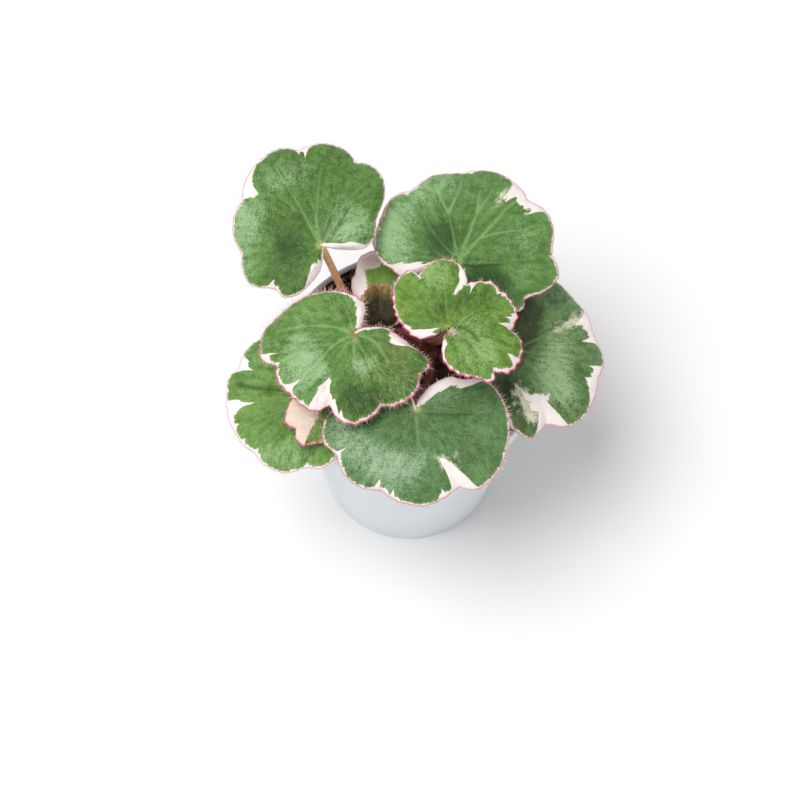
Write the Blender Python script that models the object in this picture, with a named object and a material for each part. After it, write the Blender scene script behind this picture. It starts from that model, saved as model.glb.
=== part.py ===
# Potted strawberry begonia: a small rosette of lobed, white-edged leaves in a round nursery pot.
# Metres, +Z up. The origin is the centre of the pot's underside, and the front of the plant is -Y.

import math
import random

import bmesh
import bpy
from mathutils import Matrix, Vector

MM = 0.001
GAP = 0.3 * MM

# The pot: a thin tapered shell with a rim band and a flat bottom with drain holes round its middle.
POT_HEIGHT = 58 * MM
RIM_RADIUS = 32.5 * MM
RIM_BAND = 5 * MM
RIM_PROUD = 1.3 * MM
BASE_RADIUS = 23 * MM
WALL = 1.1 * MM
FLOOR = 1.4 * MM
DRAIN_RADIUS = 2.2 * MM
DRAIN_RING = 13 * MM
DRAIN_COUNT = 6
DRAIN_STEPS = 16
POT_STEPS = 48

# The potting mix: its top lies below the rim, a little higher at the back, and is rough with bark.
MIX_BELOW_RIM = 3.4 * MM
MIX_BACK_RISE = 0.9 * MM
MIX_LUMP = 0.55 * MM
MIX_SHOULDER = 1.2 * MM
MIX_RINGS = 7
MIX_STEPS = 40
CHIP_COUNT = 18
CHIP_SIZE = (1.7 * MM, 1.1 * MM, 0.8 * MM)
CHIP_RING = (19 * MM, 28 * MM)

# The crown: the short rootstock that all the leaves grow from, standing in a plain hole in the mix.
CROWN_X = 4.5 * MM
CROWN_Y = 2.6 * MM
CROWN_RADIUS = 3.4 * MM
CROWN_RISE = 4.5 * MM
CROWN_DEPTH = 17 * MM
CROWN_STEPS = 14

# The leaves: fleshy blades on round stalks.
BLADE = 0.8 * MM
BLADE_RINGS = 3
HUB_SHARE = 0.16
STALK_BASE = 1.02 * MM
STALK_TIP = 0.72 * MM

MIX_TOP = POT_HEIGHT - MIX_BELOW_RIM


class Leaf:
    """One leaf. Lengths are in millimetres and angles in degrees.

    joint is where the stalk meets the blade: x, y and the height above the pot's rim.
    heading is the compass direction of the tip, and the blade leans by lean towards lean_to.
    dome is how far the margin drops below the joint, and waves is (height, count, turn) of its ripple.
    margin runs from the right of the stalk round the tip to its left, as lobes. Each lobe is a tuple of
    (bearing from the tip, reach from the joint), and ends in a notch, which the next lobe starts from.
    stalk is (bearing of its foot on the crown, height of the foot, climb and pull at the foot, climb and pull
    at the top).
    """

    def __init__(self, name, joint, heading, lean_to, lean, dome, waves, margin, stalk, steps=64):
        self.name = name
        self.joint = Vector((joint[0], joint[1], joint[2])) * MM + Vector((0, 0, POT_HEIGHT))
        self.dome = dome * MM
        self.waves = waves
        self.stalk = stalk
        self.margin = margin_points(margin, steps)
        self.reach = sum(point.length for point in self.margin) / len(self.margin)
        tilt = math.radians(lean)
        toward = math.radians(lean_to)
        course = Vector((math.cos(math.radians(heading)), math.sin(math.radians(heading)), 0))
        self.up = Vector((math.sin(tilt) * math.cos(toward), math.sin(tilt) * math.sin(toward), math.cos(tilt)))
        self.ahead = (course - self.up * course.dot(self.up)).normalized()
        self.aside = self.up.cross(self.ahead)

    def height(self, u, v):
        """How far the blade's middle surface stands above its own plane, u ahead of the joint and v aside."""
        share = (u * u + v * v) / self.reach**2
        high, count, turn = self.waves
        ripple = high * MM * math.cos(count * math.atan2(v, u) - math.radians(turn))
        return share * (ripple - self.dome)

    def point(self, u, v):
        return self.joint + self.ahead * u + self.aside * v + self.up * self.height(u, v)


def polar(bearing, reach):
    turn = math.radians(bearing)
    return Vector((math.cos(turn), math.sin(turn))) * reach * MM


def between(before, start, end, after, share):
    """A point on the smooth curve through four points, between the middle two."""
    a = 2 * start
    b = end - before
    c = 2 * before - 5 * start + 4 * end - after
    d = 3 * start - before - 3 * end + after
    return (a + b * share + c * share**2 + d * share**3) / 2


def margin_points(lobes, steps):
    """The margin as steps points or so: round along each lobe, sharp at each notch."""
    spans = []
    notch = Vector((0, 0))
    for lobe in lobes:
        points = [notch] + [polar(*place) for place in lobe]
        notch = points[-1]
        ends = [2 * points[0] - points[1]] + points + [2 * points[-1] - points[-2]]
        spans += [ends[i : i + 4] for i in range(len(ends) - 3)]
    length = sum((span[2] - span[1]).length for span in spans)
    found = []
    for span in spans:
        cuts = max(1, round(steps * (span[2] - span[1]).length / length))
        found += [between(*span, cut / cuts) for cut in range(cuts)]
    return found


LEAVES = [
    Leaf(
        "back_left_leaf", (-22.0, 21.8, 19), 132, -90, 10, 2.0, (0.9, 3, 40),
        (
            ((-140, 5), (-134, 10.5), (-120, 13.6), (-104, 15.4)),
            ((-91, 20.7), (-80, 24.8), (-70, 26.6), (-61, 26.4)),
            ((-52, 29.9), (-41, 31.2), (-30, 29.6)),
            ((-20, 31.2), (-6, 28.8), (5, 26.5), (14, 23.8)),
            ((25, 23.5), (38, 22.1), (51, 19.6)),
            ((61, 20), (76, 19.3), (92, 15.2)),
            ((103, 15.6), (116, 12.8), (134, 7), (148, 3), (180, 0.8)),
        ),
        (174, 1.7, 2, 15, 56, 15),
    ),
    Leaf(
        "back_right_leaf", (11.9, 19.7, 15), 97, -90, 6, 3.0, (1.0, 3, 150),
        (
            ((-150, 6), (-142, 14), (-137, 18.8), (-130, 19.2), (-124, 18.4)),
            ((-112, 22.6), (-100, 25.2), (-88, 23.8)),
            ((-74, 26.2), (-62, 27.6), (-50, 26.5)),
            ((-41, 28.8), (-25, 31.5), (-11, 29.6)),
            ((5, 28.4), (20, 25.3)),
            ((34, 25.6), (53, 23)),
            ((65, 22.2), (77, 19.6), (86, 16.4), (95, 14.6)),
            ((95, 9.8), (93, 5.8), (94, 2.6)),
        ),
        (62, 2.6, 30, 9, 55, 9),
    ),
    Leaf(
        "right_leaf", (25.2, -0.2, 6), -5, 0, 12, 2.5, (0.8, 4, 0),
        (
            ((-155, 5), (-140, 11), (-122, 17), (-108, 19), (-96, 18.2)),
            ((-84, 20.8), (-73, 22.9), (-58, 19.9)),
            ((-47, 22.4), (-34, 23.8), (-18, 23.6), (-4, 23.3)),
            ((9, 24.8), (26, 24.7), (41, 28)),
            ((56, 28.4), (70, 28.2), (84, 24)),
            ((97, 22), (114, 18), (130, 13), (146, 6), (180, 0.8)),
        ),
        (-8, 1.4, 20, 10, 45, 8),
    ),
    Leaf(
        "centre_leaf", (9.0, -6.8, 27), 40, -60, 5, 1.5, (0.8, 2, 20),
        (
            ((-162, 2), (-140, 7.6), (-115, 11.3), (-100, 13), (-89, 15.4), (-80, 14.2)),
            ((-73, 16.8), (-57, 17.8), (-44, 17.1), (-34, 15)),
            ((-22, 17.1), (-5, 17.4), (4, 16.7)),
            ((12, 16.9), (23, 15.4), (31, 13.8)),
            ((38, 17.7), (46, 20), (56, 20.2), (66, 19.2), (75, 17)),
            ((77, 19.4), (88, 19.5), (99, 17.2), (110, 14.7)),
            ((126, 12), (143, 9.1), (155, 7), (160, 4.4), (142, 2)),
        ),
        (110, 5.4, 84, 9, 62, 9),
        60,
    ),
    Leaf(
        "left_leaf", (-13.4, -5.0, 22), 222, 225, 10, 3.0, (0.7, 3, 60),
        (
            ((-168, 3), (-152, 7.3), (-140, 9.6), (-125, 11.2), (-103, 14.4), (-76, 19.2)),
            ((-62, 21.4), (-55, 23.9), (-46, 24.2), (-37, 23.8), (-29, 20.2)),
            ((-18, 21.1), (-4, 20.5), (11, 20.6), (20, 19.9), (27, 17.6)),
            ((36, 20.4), (47, 20.9), (59, 19.6), (68, 17.5)),
            ((76, 19), (88, 19.6), (98, 19.1), (106, 17.8)),
            ((113, 19.1), (118, 18.2), (123, 15.2), (136, 10.1), (150, 7.6), (166, 3.4), (180, 0.8)),
        ),
        (192, 4.0, 40, 12, 55, 9),
    ),
    Leaf(
        "front_leaf", (1.3, -19.8, 12.4), -88, -90, 12, 2.0, (0.8, 3, 200),
        (
            ((-160, 3.4), (-145, 9), (-128, 14.6), (-110, 18.4), (-92, 20.6)),
            ((-84, 22.3), (-73, 23.3), (-63, 21.9)),
            ((-49, 23.2), (-36, 22.9), (-25, 21.1)),
            ((-14, 22.3), (2, 22.9), (15, 22.1), (27, 21)),
            ((36, 24), (52, 24.5), (72, 23.1), (92, 21.5), (111, 18.9), (123, 13.6)),
            ((133, 11.4), (145, 7), (156, 3.2), (180, 0.8)),
        ),
        (-82, 1.9, 25, 9, 40, 8),
    ),
    Leaf(
        "low_left_leaf", (-22.6, -11.5, 4.6), 200, 200, 12, 2.0, (0.7, 4, 90),
        (
            ((-158, 4), (-142, 10), (-122, 16), (-104, 19.4), (-84, 21)),
            ((-72, 23), (-58, 24.3), (-46, 24.2)),
            ((-38, 25.7), (-26, 25), (-13, 24.2)),
            ((0, 22.8), (10, 22.2), (20, 21.2)),
            ((31, 21.8), (45, 21), (61, 18.3)),
            ((72, 18.5), (88, 16.4), (104, 15.4), (124, 12), (144, 7), (180, 0.8)),
        ),
        (212, 1.5, 12, 12, 42, 9),
    ),
    Leaf(
        "small_left_leaf", (-19.5, -11.6, 9.4), 246, 240, 8, 1.0, (0.5, 3, 0),
        (
            ((-156, 2.6), (-134, 5.6), (-104, 8), (-76, 9.4), (-50, 9.6)),
            ((-38, 12), (-26, 14.2), (-13, 13.7)),
            ((-8, 15.6), (0, 16.4), (8, 15.2)),
            ((18, 14.6), (32, 14.2), (46, 12.6)),
            ((58, 12.4), (78, 11), (104, 8.6), (132, 5.6), (156, 2.6), (180, 0.7)),
        ),
        (242, 2.5, 28, 10, 50, 7),
        44,
    ),
    Leaf(
        "small_back_leaf", (-6.0, 14.8, 4), 105, -90, 5, 1.0, (0.5, 3, 30),
        (
            ((-154, 3), (-134, 7), (-108, 10.6), (-84, 12), (-66, 12.4)),
            ((-52, 14.4), (-34, 15.2), (-18, 14.8)),
            ((-6, 15.7), (9, 15.1), (17, 13.8), (27, 11.7)),
            ((38, 10.9), (52, 9.2), (69, 7)),
            ((92, 6.8), (116, 6), (140, 4.4), (158, 2.4), (180, 0.7)),
        ),
        (108, 1.4, 20, 7, 30, 6),
        44,
    ),
    Leaf(
        "newest_leaf", (-7.5, 8.6, 6), 90, -90, 24, -0.6, (0.5, 3, 180),
        (
            ((-150, 1.6), (-124, 3.4), (-92, 4.8), (-62, 5.7), (-41, 6.5), (-28, 6.8), (-22, 7.2)),
            ((-17, 8.4), (-12, 8.9), (-5, 8.6), (1, 7.9)),
            ((9, 8.7), (15, 8.9), (22, 8.2), (34, 7.3), (44, 7)),
            ((58, 5.6), (74, 5), (98, 4.4), (128, 3), (152, 1.5), (180, 0.6)),
        ),
        (134, 4.0, 45, 5, 50, 4),
        36,
    ),
]


def clear_scene():
    for obj in list(bpy.data.objects):
        bpy.data.objects.remove(obj, do_unlink=True)


def material(name, colour, roughness):
    made = bpy.data.materials.new(name)
    made.use_nodes = True
    shader = made.node_tree.nodes["Principled BSDF"]
    shader.inputs["Base Color"].default_value = (*colour, 1)
    shader.inputs["Roughness"].default_value = roughness
    shader.inputs["Metallic"].default_value = 0
    return made


def add_object(name, data, finish):
    obj = bpy.data.objects.new(name, data)
    bpy.context.scene.collection.objects.link(obj)
    obj.data.materials.append(finish)
    return obj


def mesh_from(name, bm):
    bmesh.ops.recalc_face_normals(bm, faces=bm.faces)
    mesh = bpy.data.meshes.new(name)
    bm.to_mesh(mesh)
    bm.free()
    mesh.shade_smooth()
    mesh.set_sharp_from_angle(angle=math.radians(35))
    return mesh


def turned(name, profile, steps):
    """A profile of (radius, height) points from axis to axis, turned once round the Z axis."""
    bm = bmesh.new()
    corners = [bm.verts.new((radius, 0, height)) for radius, height in profile]
    edges = [bm.edges.new(pair) for pair in zip(corners, corners[1:])]
    bmesh.ops.spin(
        bm, geom=corners + edges, cent=(0, 0, 0), axis=(0, 0, 1), angle=math.tau, steps=steps, use_merge=True
    )
    bmesh.ops.remove_doubles(bm, verts=bm.verts, dist=0.01 * MM)
    return mesh_from(name, bm)


def cut(obj, cutter):
    """Takes the cutter away from the object, and removes the cutter."""
    step = obj.modifiers.new("cut", "BOOLEAN")
    step.operation = "DIFFERENCE"
    step.object = cutter
    apply_modifiers(obj)
    bpy.data.objects.remove(cutter, do_unlink=True)


def apply_modifiers(obj):
    graph = bpy.context.evaluated_depsgraph_get()
    mesh = bpy.data.meshes.new_from_object(obj.evaluated_get(graph))
    obj.modifiers.clear()
    obj.data = mesh


def pot_inside(height):
    """The inner radius of the pot's wall at a height."""
    base = BASE_RADIUS - WALL
    top = RIM_RADIUS - RIM_PROUD - WALL
    return base + (top - base) * height / POT_HEIGHT


def pot_outside(height):
    return pot_inside(height) + WALL


def build_pot(finish):
    shelf = POT_HEIGHT - RIM_BAND
    lip = 0.4 * MM
    profile = [
        (0, 0),
        (BASE_RADIUS - lip, 0),
        (pot_outside(lip), lip),
        (pot_outside(shelf - RIM_PROUD), shelf - RIM_PROUD),
        (RIM_RADIUS - lip, shelf),
        (RIM_RADIUS, shelf + lip),
        (RIM_RADIUS, POT_HEIGHT - lip),
        (RIM_RADIUS - lip, POT_HEIGHT),
        (pot_inside(POT_HEIGHT) + lip, POT_HEIGHT),
        (pot_inside(POT_HEIGHT), POT_HEIGHT - lip),
        (pot_inside(FLOOR), FLOOR),
        (0, FLOOR),
    ]
    pot = add_object("pot", turned("pot", profile, POT_STEPS), finish)
    hole = [(0, -FLOOR), (DRAIN_RADIUS, -FLOOR), (DRAIN_RADIUS, 2 * FLOOR), (0, 2 * FLOOR)]
    for i in range(DRAIN_COUNT):
        turn = math.tau * i / DRAIN_COUNT
        drain = turned("drain", hole, DRAIN_STEPS)
        cutter = add_object("drain", drain, finish)
        cutter.location = (DRAIN_RING * math.cos(turn), DRAIN_RING * math.sin(turn), 0)
        cut(pot, cutter)


def mix_height(x, y):
    """The top of the potting mix: level, higher at the back, with soft lumps."""
    lumps = math.sin(x / MM * 0.71 + 1.3) * math.cos(y / MM * 0.83 + 0.4)
    lumps += 0.6 * math.sin(x / MM * 1.37 + y / MM * 1.11)
    return MIX_TOP + MIX_BACK_RISE * y / RIM_RADIUS + MIX_LUMP * lumps / 1.6


def build_mix(finish):
    """A plug that fills the pot, with a rough top, bark chips fused in it and a plain hole for the crown."""
    base = FLOOR + GAP
    shoulder = MIX_TOP - MIX_SHOULDER
    edge = pot_inside(MIX_TOP) - GAP - MIX_SHOULDER
    profile = [(0, base), (pot_inside(base) - GAP, base), (pot_inside(shoulder) - GAP, shoulder)]
    profile += [(edge * (MIX_RINGS - i) / MIX_RINGS, MIX_TOP) for i in range(MIX_RINGS + 1)]
    mix = add_object("potting_mix", turned("potting_mix", profile, MIX_STEPS), finish)
    for vert in mix.data.vertices:
        if vert.co.z > shoulder + GAP:
            vert.co.z = mix_height(vert.co.x, vert.co.y)
    chance = random.Random(7)
    chips = bpy.data.collections.new("chips")
    bpy.context.scene.collection.children.link(chips)
    for i in range(CHIP_COUNT):
        turn = math.tau * (i + chance.uniform(-0.3, 0.3)) / CHIP_COUNT
        ring = chance.uniform(*CHIP_RING)
        x = ring * math.cos(turn)
        y = ring * math.sin(turn)
        size = Matrix.Diagonal((*[side * chance.uniform(0.8, 1.3) for side in CHIP_SIZE], 1))
        lie = Matrix.Rotation(chance.uniform(0, math.pi), 4, "Z")
        lie = lie @ Matrix.Rotation(chance.uniform(-0.4, 0.4), 4, "X")
        bm = bmesh.new()
        place = Matrix.Translation((x, y, mix_height(x, y)))
        bmesh.ops.create_icosphere(bm, subdivisions=1, radius=1, matrix=place @ lie @ size)
        chip = bpy.data.objects.new("chip", mesh_from("chip", bm))
        chips.objects.link(chip)
    join = mix.modifiers.new("chips", "BOOLEAN")
    join.operation = "UNION"
    join.operand_type = "COLLECTION"
    join.collection = chips
    apply_modifiers(mix)
    for chip in list(chips.objects):
        bpy.data.objects.remove(chip, do_unlink=True)
    bpy.data.collections.remove(chips)
    hole = add_object("crown_hole", turned("crown_hole", crown_profile(GAP), CROWN_STEPS), finish)
    hole.location = (CROWN_X, CROWN_Y, 0)
    cut(mix, hole)


def crown_profile(spare):
    """The rootstock's outline: widest at the mix, with a blunt top and a tapered foot.
    spare widens it all round, and lifts its top clear of the mix."""
    top = MIX_TOP + CROWN_RISE
    foot = MIX_TOP - CROWN_DEPTH
    lift = 10 * MM if spare else 0
    return [
        (0, foot - spare),
        (CROWN_RADIUS * 0.35 + spare, foot - spare),
        (CROWN_RADIUS * 0.8 + spare, foot + CROWN_DEPTH * 0.6),
        (CROWN_RADIUS + spare, MIX_TOP),
        (CROWN_RADIUS * 0.92 + spare, top - CROWN_RADIUS * 0.5 + lift),
        (CROWN_RADIUS * 0.5 + spare, top + lift),
        (0, top + CROWN_RADIUS * 0.15 + lift),
    ]


def crown_width(height):
    """The rootstock's radius at a height above the pot's underside."""
    outline = crown_profile(0)
    for (below, start), (above, end) in zip(outline, outline[1:]):
        if start < height <= end:
            return below + (above - below) * (height - start) / (end - start)
    return 0


def build_blade(leaf, finish):
    """A thin dished blade: rings of triangles from a hub ahead of the joint out to the margin, then its wall."""
    bm = bmesh.new()
    hub = Vector((leaf.reach * HUB_SHARE, 0))
    centre = bm.verts.new(leaf.point(*hub))
    inner = []
    for ring in range(1, BLADE_RINGS + 1):
        outer = [bm.verts.new(leaf.point(*hub.lerp(place, ring / BLADE_RINGS))) for place in leaf.margin]
        for i in range(len(outer)):
            after = (i + 1) % len(outer)
            if not inner:
                bm.faces.new((centre, outer[i], outer[after]))
                continue
            bm.faces.new((inner[i], outer[i], outer[after]))
            bm.faces.new((inner[i], outer[after], inner[after]))
        inner = outer
    name = leaf.name + "_blade"
    blade = add_object(name, mesh_from(name, bm), finish)
    wall = blade.modifiers.new("fleshy", "SOLIDIFY")
    wall.thickness = BLADE
    wall.offset = 0


def stalk_ends(leaf):
    """The stalk's two ends, each with the direction of growth there. It stops just short of crown and blade."""
    bearing, lift, foot_climb, _, top_climb, _ = leaf.stalk
    turn = math.radians(bearing)
    outward = Vector((math.cos(turn), math.sin(turn), 0))
    climb = math.radians(foot_climb)
    start_way = outward * math.cos(climb) + Vector((0, 0, math.sin(climb)))
    middle = Vector((CROWN_X, CROWN_Y, MIX_TOP + lift * MM))
    start = middle + outward * (crown_width(middle.z) + GAP + STALK_BASE * start_way.z)
    climb = math.radians(top_climb)
    end_way = leaf.ahead * math.cos(climb) + leaf.up * math.sin(climb)
    under = BLADE / 2 + GAP + STALK_TIP * math.cos(climb)
    end = leaf.joint - leaf.up * under - leaf.ahead * STALK_TIP * 0.5
    return start, start_way, end, end_way


def build_stalk(leaf, finish):
    _, _, _, foot_pull, _, top_pull = leaf.stalk
    start, start_way, end, end_way = stalk_ends(leaf)
    name = leaf.name + "_stalk"
    curve = bpy.data.curves.new(name, "CURVE")
    curve.dimensions = "3D"
    curve.bevel_depth = STALK_BASE
    curve.bevel_resolution = 1
    curve.use_fill_caps = True
    curve.resolution_u = 10
    spline = curve.splines.new("BEZIER")
    spline.bezier_points.add(1)
    foot, tip = spline.bezier_points
    foot.co = start
    foot.handle_left = start - start_way * MM
    foot.handle_right = start + start_way * foot_pull * MM
    tip.co = end
    tip.handle_left = end - end_way * top_pull * MM
    tip.handle_right = end + end_way * MM
    tip.radius = STALK_TIP / STALK_BASE
    return add_object(name, curve, finish)


def main():
    clear_scene()
    plastic = material("pale_plastic", (0.80, 0.84, 0.84), 0.45)
    earth = material("dark_mix", (0.05, 0.04, 0.03), 0.95)
    root = material("brown_crown", (0.16, 0.07, 0.05), 0.7)
    red = material("red_brown_stalk", (0.33, 0.14, 0.09), 0.5)
    green = material("leaf_green", (0.13, 0.27, 0.08), 0.45)
    build_pot(plastic)
    build_mix(earth)
    crown = add_object("crown", turned("crown", crown_profile(0), CROWN_STEPS), root)
    crown.location = (CROWN_X, CROWN_Y, 0)
    for leaf in LEAVES:
        build_blade(leaf, green)
        build_stalk(leaf, red)


main()
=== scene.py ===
# Potted strawberry begonia: a young rosette of lobed, white-edged, hairy leaves in a round nursery pot.
# Everything is in metres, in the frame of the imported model: +Z up, the front of the plant towards -Y.

import math
import random

import bmesh
import bpy
import numpy as np
from mathutils import Matrix, Vector, noise


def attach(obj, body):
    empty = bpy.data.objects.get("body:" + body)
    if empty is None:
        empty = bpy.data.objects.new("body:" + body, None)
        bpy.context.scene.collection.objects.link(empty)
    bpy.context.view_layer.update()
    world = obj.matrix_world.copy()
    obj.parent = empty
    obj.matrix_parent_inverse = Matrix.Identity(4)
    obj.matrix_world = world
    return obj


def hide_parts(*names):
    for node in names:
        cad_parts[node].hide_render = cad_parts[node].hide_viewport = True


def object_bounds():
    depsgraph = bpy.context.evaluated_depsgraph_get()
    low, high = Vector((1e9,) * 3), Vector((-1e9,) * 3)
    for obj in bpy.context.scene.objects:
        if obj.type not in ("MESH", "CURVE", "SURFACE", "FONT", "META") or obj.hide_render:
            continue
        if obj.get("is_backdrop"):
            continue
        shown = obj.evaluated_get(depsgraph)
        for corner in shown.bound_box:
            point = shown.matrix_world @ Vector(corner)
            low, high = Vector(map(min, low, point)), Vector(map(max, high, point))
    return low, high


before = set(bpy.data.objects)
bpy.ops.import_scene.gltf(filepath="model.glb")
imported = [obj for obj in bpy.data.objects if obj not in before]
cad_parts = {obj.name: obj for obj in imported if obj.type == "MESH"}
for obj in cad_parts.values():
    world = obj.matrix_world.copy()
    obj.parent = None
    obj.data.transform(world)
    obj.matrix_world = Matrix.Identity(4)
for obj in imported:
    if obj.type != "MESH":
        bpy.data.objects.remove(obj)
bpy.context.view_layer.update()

# The pot is a thin-walled nursery pot, moulded in pale plastic. Its rim is a band that steps outwards, and
# its flat bottom has a ring of round drain holes. It stands on its bottom and holds everything else.

MM = 0.001
POT_HEIGHT = 58 * MM
RIM_RADIUS = 32.5 * MM
RIM_BAND = 5 * MM
RIM_PROUD = 1.3 * MM
BASE_RADIUS = 23 * MM
WALL = 1.1 * MM
RIM_WALL = 1.4 * MM
FLOOR = 1.4 * MM
LIP = 0.4 * MM
ROUNDING = 0.15 * MM
POT_STEPS = 120
DRAIN_RADIUS = 2.2 * MM
DRAIN_RING = 13 * MM
DRAIN_COUNT = 6
SORT_WAY = Vector((0.6123, 0.3517, 0.7081))


def tone(red, green, blue):
    """A colour given as it looks, 0 to 255, in the linear values that a shader takes."""
    shares = [part / 255 for part in (red, green, blue)]
    return (*[((s + 0.055) / 1.055) ** 2.4 if s > 0.04 else s / 12.92 for s in shares], 1)


class Flow:
    """What a socket carries in a material, so that shader maths reads as plain sums."""

    def __init__(self, tree, socket=None):
        self.tree = tree
        self.socket = socket

    def node(self, kind, settings, sockets, output=0):
        """Adds a node: its settings first, then the values or links of its sockets."""
        made = self.tree.nodes.new("ShaderNode" + kind)
        for name, value in settings.items():
            setattr(made, name, value)
        for name, value in sockets.items():
            if isinstance(value, Flow):
                self.tree.links.new(value.socket, made.inputs[name])
            else:
                made.inputs[name].default_value = value
        return Flow(self.tree, made.outputs[output])

    def __add__(self, other):
        return self.node("Math", {"operation": "ADD"}, {0: self, 1: other})

    __radd__ = __add__

    def __sub__(self, other):
        return self.node("Math", {"operation": "SUBTRACT"}, {0: self, 1: other})

    def __rsub__(self, other):
        return self.node("Math", {"operation": "SUBTRACT"}, {0: other, 1: self})

    def __mul__(self, other):
        return self.node("Math", {"operation": "MULTIPLY"}, {0: self, 1: other})

    __rmul__ = __mul__

    def rise(self, low, high):
        """0 below low and 1 above high, with a smooth step between."""
        ends = {"Value": self, "From Min": low, "From Max": high}
        return self.node("MapRange", {"interpolation_type": "SMOOTHSTEP"}, ends)

    def tint(self, without, fully):
        """The colour at 0 and the colour at 1, mixed by this mask."""
        return self.node("Mix", {"data_type": "RGBA"}, {0: self, 6: without, 7: fully}, 2)


class Finish:
    """A material. What is the same all over is set on its shader, and patterns feed a few of its sockets."""

    def __init__(self, name, **fixed):
        self.material = bpy.data.materials.new(name)
        self.material.use_nodes = True
        self.shader = self.material.node_tree.nodes["Principled BSDF"]
        self.flow = Flow(self.material.node_tree)
        self.place = self.flow.node("TexCoord", {}, {}, "Object")
        for socket, value in fixed.items():
            self.shader.inputs[socket.replace("_", " ")].default_value = value

    def grain(self, size, detail=2.0, stretch=None):
        """Soft noise from 0 to 1 whose blotches are about size metres across."""
        place = self.place
        if stretch:
            place = self.flow.node("Mapping", {}, {"Vector": place, "Scale": stretch})
        return self.flow.node("TexNoise", {}, {"Vector": place, "Scale": 1 / size, "Detail": detail})

    def cells(self, size):
        """The distance to the nearest of many scattered points, about size metres apart."""
        return self.flow.node("TexVoronoi", {}, {"Vector": self.place, "Scale": 1 / size}, "Distance")

    def written(self, name):
        """A value that was written into the piece's mesh."""
        return self.flow.node("Attribute", {"attribute_name": name}, {}, "Fac")

    def feed(self, **sockets):
        """Links patterns to the shader's sockets."""
        for name, value in sockets.items():
            self.flow.tree.links.new(value.socket, self.shader.inputs[name.replace("_", " ")])

    def relief(self, height, depth, strength=1.0):
        """Fine relief, depth metres deep where height runs from 0 to 1."""
        raised = {"Height": height, "Distance": depth, "Strength": strength}
        self.feed(Normal=self.flow.node("Bump", {}, raised))


def in_order(piece):
    """Puts a mesh's points, edges and faces in one fixed order, since extrusions leave it to chance."""
    made = bmesh.new()
    made.from_mesh(piece.data)
    made.verts.sort(key=lambda corner: corner.co.dot(SORT_WAY))
    made.verts.index_update()

    def rank(part):
        total = 0
        for place in sorted(corner.index for corner in part.verts)[:3]:
            total = total * len(made.verts) + place
        return total

    made.edges.sort(key=rank)
    made.faces.sort(key=rank)
    made.to_mesh(piece.data)
    made.free()


def turned(name, outline, steps):
    """Draws an outline of (radius, height) points as a chain of edges, and spins it round the Z axis."""
    bpy.ops.object.select_all(action="DESELECT")
    bpy.ops.mesh.primitive_plane_add(size=MM)
    made = bpy.context.object
    made.name = made.data.name = name
    bpy.ops.object.mode_set(mode="EDIT")
    bpy.ops.mesh.select_all(action="SELECT")
    bpy.ops.mesh.merge(type="CENTER")
    bpy.ops.transform.translate(value=(outline[0][0], 0, outline[0][1]))
    for (radius, height), (wider, higher) in zip(outline, outline[1:]):
        step = (wider - radius, 0, higher - height)
        bpy.ops.mesh.extrude_region_move(TRANSFORM_OT_translate={"value": step})
    bpy.ops.mesh.select_all(action="SELECT")
    bpy.ops.mesh.spin(steps=steps, angle=math.tau, center=(0, 0, 0), axis=(0, 0, 1))
    bpy.ops.mesh.select_all(action="SELECT")
    bpy.ops.mesh.remove_doubles(threshold=0.01 * MM)
    bpy.ops.mesh.normals_make_consistent(inside=False)
    bpy.ops.object.mode_set(mode="OBJECT")
    in_order(made)
    return made


def pot_wall(height):
    """The outer radius of the pot's tapered wall at a height."""
    top = RIM_RADIUS - RIM_PROUD
    return BASE_RADIUS + (top - BASE_RADIUS) * height / POT_HEIGHT


def apply(piece, modifier):
    """Applies a modifier to a piece, and leaves that piece alone selected."""
    bpy.ops.object.select_all(action="DESELECT")
    piece.select_set(True)
    bpy.context.view_layer.objects.active = piece
    bpy.ops.object.modifier_apply(modifier=modifier.name)


def finished(piece, finish, slot, *nodes):
    """Gives a piece its finish and its place on the model, and hides the plain nodes that it stands for."""
    if finish:
        piece.data.materials.append(finish.material)
    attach(piece, "root")
    if nodes:
        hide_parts(*nodes)


shelf = POT_HEIGHT - RIM_BAND
pot = turned(
    "nursery_pot",
    [
        (0, 0),
        (BASE_RADIUS - LIP, 0),
        (pot_wall(LIP), LIP),
        (pot_wall(shelf / 2), shelf / 2),
        (pot_wall(shelf - RIM_PROUD), shelf - RIM_PROUD),
        (RIM_RADIUS - LIP, shelf - LIP),
        (RIM_RADIUS, shelf + LIP),
        (RIM_RADIUS, POT_HEIGHT - LIP),
        (RIM_RADIUS - LIP, POT_HEIGHT),
        (RIM_RADIUS - RIM_WALL + LIP, POT_HEIGHT),
        (RIM_RADIUS - RIM_WALL, POT_HEIGHT - LIP),
        (RIM_RADIUS - RIM_WALL, shelf + 2 * LIP),
        (pot_wall(shelf - RIM_PROUD) - WALL, shelf - RIM_PROUD),
        (pot_wall(FLOOR) - WALL - LIP, FLOOR + LIP),
        (pot_wall(FLOOR) - WALL - 2 * LIP, FLOOR),
        (0, FLOOR),
    ],
    POT_STEPS,
)
bpy.ops.object.select_all(action="DESELECT")
for i in range(DRAIN_COUNT):
    turn = math.tau * i / DRAIN_COUNT
    middle = (DRAIN_RING * math.cos(turn), DRAIN_RING * math.sin(turn), 0)
    bpy.ops.mesh.primitive_cylinder_add(vertices=32, radius=DRAIN_RADIUS, depth=4 * FLOOR, location=middle)
    drain = bpy.context.object
    hole = pot.modifiers.new("drain", "BOOLEAN")
    hole.operation = "DIFFERENCE"
    hole.object = drain
    apply(pot, hole)
    bpy.data.objects.remove(drain, do_unlink=True)
rounding = pot.modifiers.new("rounding", "BEVEL")
rounding.width = ROUNDING
rounding.segments = 2
rounding.limit_method = "ANGLE"
rounding.angle_limit = math.radians(35)
apply(pot, rounding)
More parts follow.
